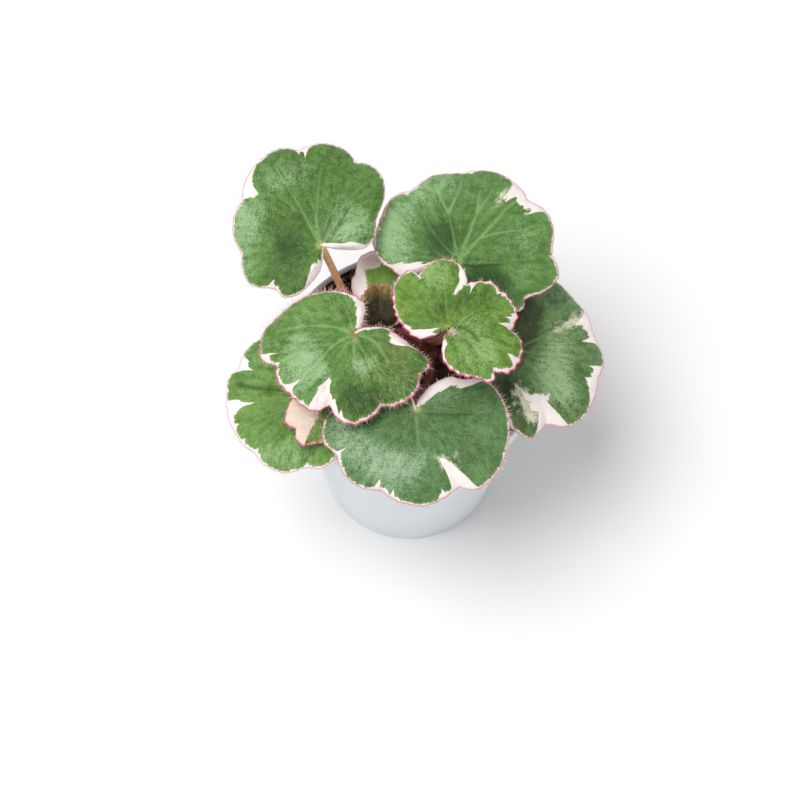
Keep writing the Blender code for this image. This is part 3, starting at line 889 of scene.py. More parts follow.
def grow_stalk(name, leaf):
    """A bezier curve from the crown to the blade, made a round mesh that swells a little at both ends."""
    _, _, _, foot_pull, _, top_pull = leaf.stalk
    start, start_way, end, end_way = stalk_ends(leaf)
    bpy.ops.object.select_all(action="DESELECT")
    bpy.ops.curve.primitive_bezier_curve_add()
    stalk = bpy.context.object
    stalk.name = stalk.data.name = name
    stalk.data.bevel_depth = STALK_BASE
    stalk.data.bevel_resolution = 3
    stalk.data.use_fill_caps = True
    stalk.data.resolution_u = 40
    foot, tip = stalk.data.splines[0].bezier_points
    for point in (foot, tip):
        point.handle_left_type = point.handle_right_type = "FREE"
    foot.co = start
    foot.handle_left = start - start_way * MM
    foot.handle_right = start + start_way * foot_pull * MM
    tip.co = end
    tip.handle_left = end - end_way * top_pull * MM
    tip.handle_right = end + end_way * MM
    tip.radius = STALK_TIP / STALK_BASE
    bends = (foot.co.copy(), foot.handle_right.copy(), tip.handle_left.copy(), tip.co.copy())
    bpy.ops.object.convert(target="MESH")
    stalk = bpy.context.object
    mesh = stalk.data
    shares = np.linspace(0, 1, 80)[:, None]
    weights = ((1 - shares) ** 3, 3 * shares * (1 - shares) ** 2, 3 * shares**2 * (1 - shares), shares**3)
    middle = sum(weight * np.array(bend) for weight, bend in zip(weights, bends))
    corners = np.array([corner.co for corner in mesh.vertices])
    nearest = np.linalg.norm(corners[:, None] - middle[None], axis=2).argmin(axis=1)
    passed = nearest / (len(middle) - 1)
    rings = [noise.noise(Vector(corner) / (1.5 * MM)) for corner in corners]
    swell = 1.22 + 0.3 * np.exp(-passed * 14) + 0.25 * np.exp((passed - 1) * 22) + 0.07 * np.array(rings)
    corners = middle[nearest] + (corners - middle[nearest]) * swell[:, None]
    mesh.vertices.foreach_set("co", corners.ravel())
    mesh.update()
    write(mesh, "passed", passed)
    bpy.ops.object.shade_smooth()
    return stalk


def stalk_finish(name, top, foot):
    """The stalk's skin, from its colour at the foot to its colour under the blade."""
    skin = Finish(name, IOR=1.42)
    blotch = skin.grain(1.5 * MM, 3)
    climb = skin.written("passed") + blotch * 0.5 - 0.25
    colour = climb.rise(0.6, 1.05).tint(foot, top)
    colour = (blotch.rise(0.5, 0.75) * 0.35).tint(colour, tone(84, 34, 34))
    skin.feed(Base_Color=colour, Roughness=0.42 + blotch * 0.2)
    skin.relief(skin.grain(0.45 * MM, 3), 0.1 * MM, 0.6)
    return skin


# The hairs are fine, soft and pale, pinker round the margins and browner on the blades and stalks. One is
# made as a thin three-sided cone, widened halfway up, and each leaf's hairs are copies of it.

bpy.ops.object.select_all(action="DESELECT")
bpy.ops.mesh.primitive_cone_add(vertices=3, radius1=1, radius2=0, depth=1, location=(0, 0, 0.5))
one_hair = bpy.context.object
bpy.ops.object.transform_apply(location=True)
bpy.ops.object.mode_set(mode="EDIT")
bpy.ops.mesh.select_all(action="SELECT")
bpy.ops.mesh.bisect(plane_co=(0, 0, 0.5), plane_no=(0, 0, 1))
bpy.ops.object.mode_set(mode="OBJECT")
for corner in one_hair.data.vertices:
    if 0.4 < corner.co.z < 0.6:
        corner.co.x *= 1.5
        corner.co.y *= 1.5
hair_shape = one_hair.data.copy()
bpy.data.objects.remove(one_hair, do_unlink=True)

down = Finish("leaf_hair", IOR=1.45, Roughness=0.55)
down.feed(Base_Color=down.written("tint").tint(tone(246, 222, 222), tone(212, 176, 138)))


def hair_place(root, way, length, thick, chance):
    """Where one hair goes: its foot, the way it points, its length and its radius."""
    turn = way.to_track_quat("Z", "Y").to_matrix().to_4x4()
    roll = Matrix.Rotation(chance.uniform(0, math.tau), 4, "Z")
    return Matrix.Translation(root) @ turn @ roll @ Matrix.Diagonal((thick, thick, length, 1))


def grow_hairs(name, blade, leaf, stalk, over, fringe, seed):
    """The hairs of one leaf: over its top, out from its margin, and along its stalk.

    blade is the drawn blade, before it is thickened. over is (how many, length, and where they are thick:
    ahead, aside, size), and fringe is (spacing, length, thick from one lobe place to another).
    """
    chance = random.Random(seed)
    places = []
    tints = []
    mesh = blade.data
    count, length, ahead, aside, size = over
    thick = leaf.placed(np.array([ahead * MM]), np.array([aside * MM]), np.zeros(1))
    apart = np.linalg.norm(np.array([face.center for face in mesh.polygons]) - thick, axis=1)
    areas = np.array([face.area for face in mesh.polygons]) * (0.07 + bell(apart, size * MM))
    picked = np.searchsorted(np.cumsum(areas) / areas.sum(), [chance.random() for _ in range(count)])
    for index in picked:
        face = mesh.polygons[min(int(index), len(mesh.polygons) - 1)]
        root = face.center + face.normal * 0.3 * BLADE
        away = (face.center - leaf.joint).normalized()
        lean = Vector((chance.gauss(0, 0.2), chance.gauss(0, 0.2), chance.gauss(0, 0.15)))
        way = (face.normal * 0.45 + away + lean).normalized()
        places.append(hair_place(root, way, length * MM * chance.uniform(0.6, 1.25), OVER_HAIR, chance))
        tints.append(chance.uniform(0.6, 1))
    spacing, length, first, last = fringe
    u, v = np.array(leaf.margin).T
    rim = [Vector(point) for point in leaf.placed(u, v, leaf.height(u, v))]
    for index, root in enumerate(rim):
        step = (rim[(index + 1) % len(rim)] - rim[index - 1]) / 2
        outward = step.cross(leaf.up).normalized()
        strong = first <= leaf.lobe_place[index] <= last
        here = step.length / (spacing * MM) * (THICK_FRINGE if strong else 1)
        for _ in range(int(here + chance.random())):
            lean = Vector((chance.gauss(0, 0.3), chance.gauss(0, 0.3), chance.gauss(0.1, 0.25)))
            way = (outward + lean).normalized()
            long = length * MM * chance.uniform(0.5, 1.2) * (LONG_FRINGE if strong else 1)
            foot = root - outward * 0.12 * MM + step * chance.uniform(-0.5, 0.5)
            places.append(hair_place(foot, way, long, FRINGE_HAIR, chance))
            tints.append(chance.uniform(0, 0.6))
    skin = stalk.data
    for index in range(0, len(skin.polygons), 5):
        face = skin.polygons[index]
        if len(face.vertices) == 4 and chance.random() < 0.7:
            lean = Vector((chance.gauss(0, 0.3), chance.gauss(0, 0.3), chance.gauss(0, 0.3)))
            way = (face.normal + lean).normalized()
            root = face.center - face.normal * 0.1 * MM
            places.append(hair_place(root, way, MM * chance.uniform(0.6, 1.5), STALK_HAIR, chance))
            tints.append(chance.uniform(0.3, 1))
    hairs = copied(name, hair_shape, places, tints)
    finished(hairs, down, "leaf")


def dress_leaf(name, leaf, blade, skin, stem, over, fringe, seed):
    """Grows one leaf's stalk and hairs, and thickens and finishes its drawn blade."""
    stalk = grow_stalk(name + "_stalk", leaf)
    grow_hairs(name + "_hairs", blade, leaf, stalk, over, fringe, seed)
    blade.data.materials.append(skin.material)
    blade.data.materials.append(under.material)
    thicken(blade)
    finished(blade, None, "leaf", name + "_leaf_blade")
    finished(stalk, stem, "stalk", name + "_leaf_stalk")


OLIVE = tone(232, 200, 130)
RED_BROWN = tone(112, 58, 48)

form = Leaf(
    joint=(-22.0, 21.8, 19), heading=132, lean_to=-90, lean=10, dome=2.0, waves=(0.9, 3, 40),
    margin=(
        ((-140, 5), (-134, 10.5), (-120, 13.6), (-104, 15.4)),
        ((-91, 20.7), (-80, 24.8), (-70, 26.6), (-61, 26.4)),
        ((-52, 29.9), (-41, 31.2), (-30, 29.6)),
        ((-20, 31.2), (-6, 28.8), (5, 26.5), (14, 23.8)),
        ((25, 23.5), (38, 22.1), (51, 19.6)),
        ((61, 20), (76, 19.3), (92, 15.2)),
        ((103, 15.6), (116, 12.8), (134, 7), (148, 3), (180, 0.8)),
    ),
    stalk=(174, 1.7, 2, 15, 56, 15), teeth=(0.12, 3.1), steps=280,
)
blade = shape_blade(
    "back_left_blade", form,
    white=(
        (0, 0.4), (0.11, 1.9), (0.3, 3.8), (0.54, 3.6), (0.58, 0.8), (0.71, 0.4), (1, 0.3), (1.9, 0.3),
        (2.04, 0.9), (2.1, 0.3), (2.7, 0.4), (2.79, 0.6), (2.86, 1.8), (2.9, 4.3), (2.93, 1.3),
        (2.97, 1.2), (3.01, 2.4), (3.04, 0.6), (3.48, 0.5), (3.6, 1.5), (3.68, 2.3), (3.74, 3.1),
        (3.76, 5.4), (3.8, 4.6), (3.88, 3.4), (3.98, 0.5), (4.9, 0.4), (5.7, 0.3), (5.8, 0.5),
        (5.88, 0.8), (5.9, 2.3), (5.93, 0.9), (6.1, 0.7), (6.3, 0.5), (6.43, 0.6), (6.45, 2.9),
        (6.52, 3.8), (6.6, 2.6), (6.67, 1.6), (6.86, 0.8), (7, 0.4),
    ),
    veins=(
        ((-14, 0.6), (-15, 12), (-15, 20.4), (-14, 26)), ((-34, 0.6), (-33, 8.3), (-40, 17), (-42, 24)),
        ((-72, 0.6), (-71, 6.9), (-69, 14.4), (-75, 21)),
    ),
    faint=(
        ((-71, 6.9), (-58, 15), (-55, 23)), ((-34, 9), (-26, 18), (-28, 25)),
        ((-15, 9), (-4, 17), (-2, 23)), ((40, 0.6), (42, 8)), ((84, 0.6), (82, 6)),
    ),
    creases=((0.35, ((-84, 3.5), (-80, 9), (-72, 13.3))),),
    silver_and_painted_light=(
        (19.8, 8.4, 6, 0.95), (13.5, 11.5, 6, 0.7), (21, -4.4, 6, 0.7), (18.8, -12.2, 5, 0.35),
        (7, -15.9, 5, 0.25), (-1.1, -9.3, 6.5, 1), (-0.8, -4.9, 4, 0.4), (7, 16.6, 5, 0.5),
        (7.9, 4.5, 7, -0.55), (4.1, 8.8, 6, -0.5), (13.2, -14.7, 4, -0.3), (8.9, -2.9, 3, -0.3),
        (1.1, -18, 4, -0.25),
    ),
    pucker=0.65, ruffle=0.12, seed=1,
)
skin = leaf_finish(
    "back_left_skin", tone(98, 142, 64), tone(68, 104, 38), tone(152, 188, 124), tone(196, 206, 110),
    0.52, 0.3, 0.3,
)
olive_stem = stalk_finish("olive_stem", OLIVE, tone(200, 124, 104))
dress_leaf(
    "back_left", form, blade, skin, olive_stem,
    over=(110, 0.8, 10, 5, 12), fringe=(1.5, 0.7, 0, 0), seed=21,
)

# The back right leaf is the largest, a broad blade that reaches out over the back of the pot's rim. Its
# veins fork three times, a jagged white corner runs in from its far right edge, and its margin folds in
# beside the stalk.

form = Leaf(
    joint=(11.9, 19.7, 15), heading=97, lean_to=-90, lean=6, dome=3.0, waves=(1.0, 3, 150),
    margin=(
        ((-172, 3.4), (-160, 7), (-145, 14), (-137, 18.8), (-130, 19.2), (-124, 18.4)),
        ((-112, 22.6), (-100, 25.2), (-88, 23.8)),
        ((-74, 26.2), (-62, 27.6), (-50, 26.5)),
        ((-41, 28.8), (-25, 31.5), (-11, 29.6)),
        ((5, 28.4), (20, 25.3)),
        ((34, 25.6), (53, 23)),
        ((65, 22.2), (77, 19.6), (86, 16.4), (95, 14.6)),
        ((95, 9.8), (93, 5.8), (94, 2.6)),
    ),
    stalk=(62, 2.6, 30, 9, 55, 9), teeth=(0.2, 3.4), steps=290,
)
blade = shape_blade(
    "back_right_blade", form,
    white=(
        (0, 0.4), (0.6, 0.3), (0.95, 0.3), (1.04, 0.6), (1.2, 0.7), (1.5, 0.4), (1.95, 0.8), (2, 0.3),
        (2.15, 0.7), (2.3, 0.3), (2.68, 0.6), (2.72, 5.4), (2.76, 2.6), (2.84, 2.3), (2.88, 3.4),
        (2.95, 3.1), (3.03, 2.9), (3.13, 3.2), (3.22, 2.8), (3.27, 4.2), (3.3, 6.6), (3.33, 5.5),
        (3.37, 3), (3.4, 1.6), (3.45, 0.5), (3.8, 0.3), (3.87, 0.6), (3.89, 2), (3.92, 1.7), (3.95, 0.7),
        (4, 0.3), (4.8, 0.3), (4.91, 1.2), (5, 0.6), (5.1, 1), (5.19, 2.4), (5.22, 0.5), (5.5, 0.4),
        (5.9, 0.8), (5.97, 0.5), (6.06, 1.9), (6.1, 0.6), (6.22, 0.9), (6.38, 0.4), (6.56, 0.8),
        (6.68, 1.4), (6.72, 3.2), (6.84, 4), (6.88, 5.6), (6.92, 7), (7.1, 4.4), (7.3, 3.8), (7.6, 3),
        (7.8, 1.8), (8, 0.4),
    ),
    streaks=(((20.7, -17.6), (17.5, -14), 0.8, 0.15),),
    pale=(
        ((14.8, -11.2), (18.2, -14.1), -0.4, 0.1), ((18.2, -14.1), (20.5, -16.8), 0.1, 0.3),
        ((14.7, -19.7), (11.8, -18.9), 0.2, -0.4),
    ),
    veins=(
        ((2, 0.6), (2, 7.5), (2, 14.4)), ((2, 14.4), (-8, 21.7), (-10, 26)),
        ((2, 14.4), (5, 20.3), (6, 25)), ((-28, 0.6), (-26, 13.9), (-29, 22.1), (-30, 27)),
        ((-26, 15), (-22, 23.2)), ((-48, 0.6), (-48, 7.8), (-59, 13.1), (-66, 18), (-68, 23)),
        ((-48, 7.8), (-45, 19.7), (-46, 25)),
    ),
    faint=(
        ((64, 0.6), (61, 5.4), (45, 9.6), (40, 16), (38, 21)),
        ((28, 0.6), (30, 10), (24, 18), (24, 22)), ((-92, 0.6), (-96, 10), (-92, 18), (-96, 22)),
        ((-59, 13), (-52, 17), (-56, 23)), ((84, 0.6), (74, 8), (70, 16)),
    ),
    creases=((0.6, ((-100, 1.2), (-110, 4.3), (-101, 9.3), (-96, 12))),),
    silver_and_painted_light=(
        (10.3, 16, 6, 1), (15.9, 13.4, 6, 0.9), (4.2, 13.5, 5, 0.9), (23.2, 5.4, 6, 0.8),
        (24.2, -2.6, 6, 0.5), (18.2, -7.7, 4, 0.3), (7, -17.9, 6, 0.45), (0.7, -14.4, 5, 0.3),
        (8.3, 6.4, 5.5, -0.65), (10.1, 1.2, 4, -0.4), (3.4, 4.1, 5, -0.5), (22, -5.7, 3, -0.4),
        (27.1, -12.2, 4, -0.3), (-5.4, -6, 4.5, -0.9), (-8.2, -9.4, 4.5, -0.9), (-1.9, -2.7, 3, -0.4),
        (6.2, -1.3, 3, -0.3), (-5.1, -15.6, 3, 0.5),
    ),
    pucker=0.9, ruffle=0.2, seed=2,
)
skin = leaf_finish(
    "back_right_skin", tone(108, 152, 80), tone(76, 118, 50), tone(140, 182, 108), tone(128, 176, 90),
    0.7, 0.55, 0.45,
)
red_stem = stalk_finish("red_brown_stem", tone(132, 78, 56), RED_BROWN)
dress_leaf(
    "back_right", form, blade, skin, red_stem,
    over=(130, 0.8, 12, -8, 14), fringe=(1.4, 0.7, 0, 0), seed=22,
)

# The right leaf lies low over the rim, in the shade of the centre and back right leaves, deepened with
# painted shade on its inner part. White jags run into its outer edge, and a broad wedge of white and pale
# green into its front corner.

form = Leaf(
    joint=(25.2, -0.2, 6), heading=-5, lean_to=0, lean=12, dome=2.5, waves=(0.8, 4, 0),
    margin=(
        ((-155, 5), (-140, 11), (-122, 17), (-108, 19), (-96, 18.2)),
        ((-84, 20.8), (-73, 22.9), (-58, 19.9)),
        ((-47, 22.4), (-34, 23.8), (-18, 23.6), (-4, 23.3)),
        ((9, 24.8), (26, 24.7), (41, 28)),
        ((56, 28.4), (70, 28.2), (84, 24)),
        ((97, 22), (114, 18), (130, 13), (146, 6), (180, 0.8)),
    ),
    stalk=(-8, 1.4, 20, 10, 45, 8), teeth=(0.12, 3.3), steps=280,
)
blade = shape_blade(
    "right_blade", form,
    white=(
        (0, 0.4), (0.5, 1), (0.84, 3), (1.11, 2.5), (1.3, 0.8), (1.5, 0.3), (1.76, 0.3), (1.84, 3.2),
        (1.92, 5), (1.97, 5.4), (2.02, 6), (2.075, 6.6), (2.11, 5.4), (2.15, 4.3), (2.2, 3.4),
        (2.25, 2.2), (2.3, 0.8), (2.35, 0.4), (2.6, 0.4), (2.66, 0.5), (2.76, 2), (2.84, 3), (2.88, 4.1),
        (2.92, 2.6), (3.01, 2.2), (3.09, 2.6), (3.13, 4), (3.17, 1.5), (3.2, 0.7), (3.3, 0.4), (3.5, 0.4),
        (3.56, 1), (3.58, 3.2), (3.61, 5.1), (3.64, 2.3), (3.73, 2.6), (3.8, 3.4), (3.88, 4.4),
        (3.92, 6.4), (3.96, 6), (4, 4.4), (4.04, 2), (4.08, 0.6), (4.5, 0.3), (6, 0.4),
    ),
    streaks=(
        ((8.6, -12), (5, -12.4), 1.5, 0.8), ((5, -12.4), (2, -10.3), 0.8, 0.2),
        ((9, -14), (6.6, -14), 1.8, 1.2), ((10.1, -9.9), (9.2, -12.4), 0.15, 0.9),
    ),
    pale=(
        ((2, -10.7), (4.6, -13.2), 0.7, 1.6), ((4.6, -13.2), (6.4, -16.4), 1.6, 1.4),
        ((3.4, -11.6), (5.4, -15.6), 1.1, 1.2),
        ((0.8, -11.5), (2.6, -16), -0.5, -0.4),
        ((11.3, 9.6), (16.6, 13.6), 0.1, 1.2), ((16.6, 13.6), (20.6, 17.2), 1.2, 1.5),
    ),
    veins=(
        ((0, 0.6), (4, 10), (7, 18), (8, 22)), ((32, 0.6), (36, 10), (40, 17), (42, 23)),
        ((-34, 0.6), (-36, 10), (-39, 19)),
    ),
    faint=(
        ((4, 10), (-6, 18)), ((62, 0.6), (66, 10), (64, 20)), ((-68, 0.6), (-72, 10), (-74, 18)),
        ((-106, 0.6), (-108, 10), (-110, 16)), ((98, 0.6), (96, 10), (98, 17)),
        ((36, 9), (22, 17), (22, 22)),
    ),
    silver_and_painted_light=(
        (1.1, 9.1, 6, -1.4), (3.9, 5.3, 5, -0.8), (0.6, 1.5, 5, -1), (0.8, -5.6, 4, -0.25),
        (-1.1, -10, 4, -0.7), (5.5, 13.6, 4, -0.7), (11.1, 5.8, 6, 0.9), (10.5, -1.9, 6, 0.8),
        (13.6, -6.4, 6, 0.5), (9.1, -7.5, 5, 0.5), (14, -10.1, 4, 0.4), (12.6, 19.9, 6, 0.4),
        (19.2, 3.6, 4, -0.3), (18, -2.6, 4, -0.3), (4.9, -19.1, 5, -0.6), (0, -14, 4, -0.6),
    ),
    pucker=0.7, ruffle=0.15, seed=3,
)
skin = leaf_finish(
    "right_skin", tone(112, 146, 90), tone(72, 106, 54), tone(142, 172, 122), tone(150, 170, 100),
    0.3, 0.45, 0.3, tone(160, 192, 140), tone(50, 58, 24),
)
dress_leaf(
    "right", form, blade, skin, red_stem,
    over=(110, 0.8, 8, -14, 8), fringe=(1.4, 0.8, 2.4, 3.1), seed=23,
)

# The centre leaf is young, bright yellow-green and the highest. Its edge is the most toothed and one of the
# pinkest, and the fold beside its stalk holds a tuft of pale wool.

form = Leaf(
    joint=(9.0, -6.8, 27), heading=40, lean_to=-60, lean=5, dome=1.5, waves=(0.8, 2, 20),
    margin=(
        ((-162, 2), (-140, 7.6), (-115, 11.3), (-100, 13), (-89, 15.4), (-80, 14.2)),
        ((-73, 16.8), (-57, 17.8), (-44, 17.1), (-34, 15)),
        ((-22, 17.1), (-5, 17.4), (4, 16.7)),
        ((12, 16.9), (23, 15.4), (31, 13.8)),
        ((38, 17.7), (46, 20), (56, 20.2), (66, 19.2), (75, 17)),
        ((77, 19.4), (88, 19.5), (99, 17.2), (110, 14.7)),
        ((126, 12), (143, 9.1), (155, 7), (160, 4.4), (142, 2)),
    ),
    stalk=(110, 5.4, 84, 9, 62, 9), teeth=(0.5, 2.3), steps=290,
)
blade = shape_blade(
    "centre_blade", form,
    white=(
        (0, 0.6), (0.2, 0.8), (0.31, 2.6), (0.34, 0.7), (0.39, 0.7), (0.5, 0.4), (0.8, 0.4), (0.88, 1.4),
        (0.92, 0.6), (1, 0.8), (1.07, 1.4), (1.2, 1.1), (1.27, 1.5), (1.3, 0.7), (1.36, 0.6), (1.43, 3.4),
        (1.47, 0.6), (1.6, 0.4), (1.85, 0.5), (1.9, 0.7), (1.93, 1.9), (1.97, 0.9), (2.03, 1.5),
        (2.09, 3.9), (2.12, 1.2), (2.16, 1.8), (2.2, 1.4), (2.24, 3.1), (2.27, 1.2), (2.32, 1.6),
        (2.36, 0.6), (2.6, 0.6), (2.73, 1.3), (2.8, 0.8), (2.87, 1.2), (2.89, 3), (2.92, 1.1), (3, 1.3),
        (3.05, 0.9), (3.2, 0.7), (3.3, 0.9), (3.39, 1.5), (3.45, 0.8), (3.6, 0.8), (3.66, 1.6),
        (3.73, 4.2), (3.79, 1.6), (3.9, 0.9), (3.98, 1.4), (4.05, 2), (4.1, 3.4), (4.15, 4.6), (4.2, 5.6),
        (4.26, 6.2), (4.275, 1.6), (4.33, 1.2), (4.4, 0.8), (4.5, 0.5), (5, 0.5), (5.15, 0.8),
        (5.23, 3.2), (5.27, 0.8), (5.4, 0.4), (5.9, 0.5), (6.2, 0.5), (6.35, 1), (6.43, 3), (6.47, 5.4),
        (6.55, 5.4), (6.62, 2.6), (6.8, 1.4), (7, 0.8),
    ),
    streaks=(((12, 8), (7, 6.2), 1.1, 0.3), ((5.5, 17.4), (4.2, 15.2), 0.8, 0.1)),
    veins=(
        ((50, 0.6), (56, 5.8), (54, 12), (58, 17)), ((4, 0.6), (2, 5.3), (-1, 9.6), (-2, 14)),
        ((-20, 0.6), (-16, 2.4), (-45, 9.1), (-48, 14)), ((-70, 0.6), (-67, 2.7), (-75, 7.2), (-80, 12)),
    ),
    faint=(
        ((92, 0.6), (92, 8), (92, 15)), ((124, 0.5), (126, 6), (128, 10)),
        ((-108, 0.6), (-108, 6), (-110, 10)), ((55, 9), (38, 14), (44, 17)),
        ((28, 0.6), (28, 6), (22, 12)),
    ),
    creases=((0.4, ((26, 0.6), (-23, 3.2), (-45, 5.5), (-64, 8.3))), (0.3, ((-70, 3.8), (-75, 6.9)))),
    silver_and_painted_light=(
        (7.7, 15.1, 4, 0.9), (6.5, 10.8, 4, 0.7), (4.4, -0.7, 4, 0.8), (-0.8, -5.7, 5, 0.4),
        (1.2, -10, 4.5, 0.55), (5, -8.4, 5, 0.4), (2.4, 5.2, 4.5, -0.6), (6.8, 3.2, 4, -0.5),
        (12, 0.8, 4, -0.4), (-2.8, 13.7, 3, -0.1),
    ),
    pucker=0.8, ruffle=0.4, seed=4,
    aged=((-5.9, 11.6, 2.4, 0.42), (-3.6, 14.8, 2, 0.16), (-5.2, -7.6, 2.2, 0.18), (-4.9, -9.8, 1.8, 0.12)),
)
skin = leaf_finish(
    "centre_skin", tone(120, 160, 70), tone(80, 118, 38), tone(166, 192, 96), tone(190, 200, 96),
    0.35, 1.0, 0.6, tone(152, 190, 116),
)
dress_leaf(
    "centre", form, blade, skin, red_stem,
    over=(70, 0.7, 6, 4, 9), fringe=(1.3, 0.6, 0, 0), seed=24,
)

WOOL_COUNT = 90
WOOL_SPREAD = 0.55 * MM

chance = random.Random(5)
fold = Vector(form.placed(np.zeros(1), np.array([-1.3 * MM]), np.array([0.5 * MM]))[0])
places = []
for i in range(WOOL_COUNT):
    foot = fold + Vector([chance.gauss(0, WOOL_SPREAD) for _ in range(3)])
    way = Vector([chance.gauss(0, 1) for _ in range(3)]) + Vector((0, 0, 1))
    places.append(hair_place(foot, way.normalized(), MM * chance.uniform(0.5, 1.2), FRINGE_HAIR, chance))
wool = copied("centre_wool", hair_shape, places, [0] * len(places))
finished(wool, down, "leaf")

# The left leaf is next in height. It is silvery near its middle, where its veins meet over the stalk, partly
# with painted sheen and highlight, and long pale hairs stand out all round it and lie thick on its right
# half, which is darkened with painted shade.

form = Leaf(
    joint=(-13.4, -5.0, 22), heading=222, lean_to=225, lean=10, dome=3.0, waves=(0.7, 3, 60),
    margin=(
        ((-168, 3), (-152, 7.3), (-140, 9.6), (-125, 11.2), (-103, 14.4), (-76, 19.2)),
        ((-62, 21.4), (-55, 23.9), (-46, 24.2), (-37, 23.8), (-29, 20.2)),
        ((-18, 21.1), (-4, 20.5), (11, 20.6), (20, 19.9), (27, 17.6)),
        ((36, 20.4), (47, 20.9), (59, 19.6), (68, 17.5)),
        ((76, 19), (88, 19.6), (98, 19.1), (106, 17.8)),
        ((113, 19.1), (118, 18.2), (123, 15.2), (136, 10.1), (150, 7.6), (166, 3.4), (180, 0.8)),
    ),
    stalk=(192, 4.0, 40, 12, 55, 9), teeth=(0.3, 2.7), steps=290,
)
blade = shape_blade(
    "left_blade", form,
    white=(
        (0, 0.5), (0.2, 2.4), (0.35, 3.3), (0.42, 4.6), (0.45, 3.2), (0.5, 2.8), (0.58, 1.9), (0.65, 1.2),
        (0.71, 1), (0.8, 0.7), (1, 0.4), (1.6, 0.3), (1.72, 0.5), (1.76, 1.6), (1.78, 5.3), (1.8, 2.4),
        (1.86, 1.8), (1.92, 1.7), (1.98, 1.2), (2.03, 0.5), (2.07, 0.5), (2.11, 1.6), (2.14, 0.6),
        (2.18, 0.9), (2.28, 1), (2.34, 1.9), (2.36, 5.1), (2.39, 1.2), (2.44, 0.6), (2.52, 0.5),
        (2.56, 1.1), (2.6, 0.5), (2.65, 0.8), (2.68, 2.6), (2.7, 5.6), (2.73, 7.2), (2.76, 7.8), (2.8, 8),
        (2.84, 7.6), (2.87, 7.1), (2.9, 6.4), (2.93, 4.4), (2.98, 2.4), (3.08, 2.4), (3.17, 2.8),
        (3.21, 2), (3.26, 1.4), (3.31, 3), (3.34, 1.2), (3.4, 0.7), (3.5, 0.5), (3.62, 1), (3.68, 0.6),
        (4.5, 0.5), (5.3, 0.4), (5.4, 0.8), (5.43, 4), (5.46, 5.6), (5.49, 4.4), (5.52, 2.8), (5.6, 1),
        (5.66, 0.8), (5.74, 2.1), (5.8, 2), (5.9, 2.4), (6, 0.5),
    ),
    streaks=(((12.4, 4.2), (14.4, 4.7), 0.6, 1.1),),
    veins=(
        ((-70, 0.6), (-65, 5), (-60, 9.5), (-57, 14), (-53, 20)),
        ((-8, 0.6), (-16, 3.9), (-14, 6.9), (-6, 10.6), (-5, 18)),
        ((60, 0.6), (45, 4), (49, 6.9), (50, 11.9)),
        ((122, 0.8), (114, 5), (103, 8), (96, 10.5), (90, 12)), ((-112, 0.6), (-116, 3), (-118, 5)),
    ),
    faint=(
        ((16, 0.6), (14, 7), (18, 13), (22, 16)), ((-118, 5), (-112, 10)), ((-20, 6), (-34, 13), (-36, 19)),
        ((128, 0.6), (128, 7), (124, 11)), ((74, 0.6), (72, 8), (72, 15)),
    ),
    silver_and_painted_light=(
        (12.2, -7.4, 5, 0.9), (13, -2.2, 5, 0.9), (11.6, 1.8, 3, 0.6), (17.4, -0.8, 4, 0.6),
        (4.9, 7.2, 2.8, 1.5), (8, 4.8, 3, -0.5), (0.8, 4.4, 2.4, -0.5), (1.4, 8.2, 2, 0.7),
        (6, -13.6, 5, 0.35), (-2.8, -8.4, 5, 0.3), (-1.2, 14.5, 5, -0.3), (7.2, 14.7, 6, -0.5),
        (11.5, 10.8, 5, -0.7), (-5.3, 11.9, 4, -0.3), (4.6, -0.8, 3, -0.3), (14.6, -14, 4, -0.2),
    ),
    pucker=1.0, ruffle=0.3, seed=5,
    aged=((-5, 9.2, 3.6, 0.26), (-2.4, 12.6, 3, 0.12)),
)
skin = leaf_finish(
    "left_skin", tone(112, 156, 76), tone(72, 114, 40), tone(144, 184, 104), tone(150, 112, 66),
    0.7, 0.95, 0.5,
)
dress_leaf(
    "left", form, blade, skin, red_stem,
    over=(620, 1.35, 2, 15, 7), fringe=(0.7, 1.2, 0, 1.4), seed=25,
)

# The front leaf hangs over the rim at the front, and is the bluest green. Its stalk shows in the notch
# beside its broad white fold, and a pointed white wedge runs in from its front edge.

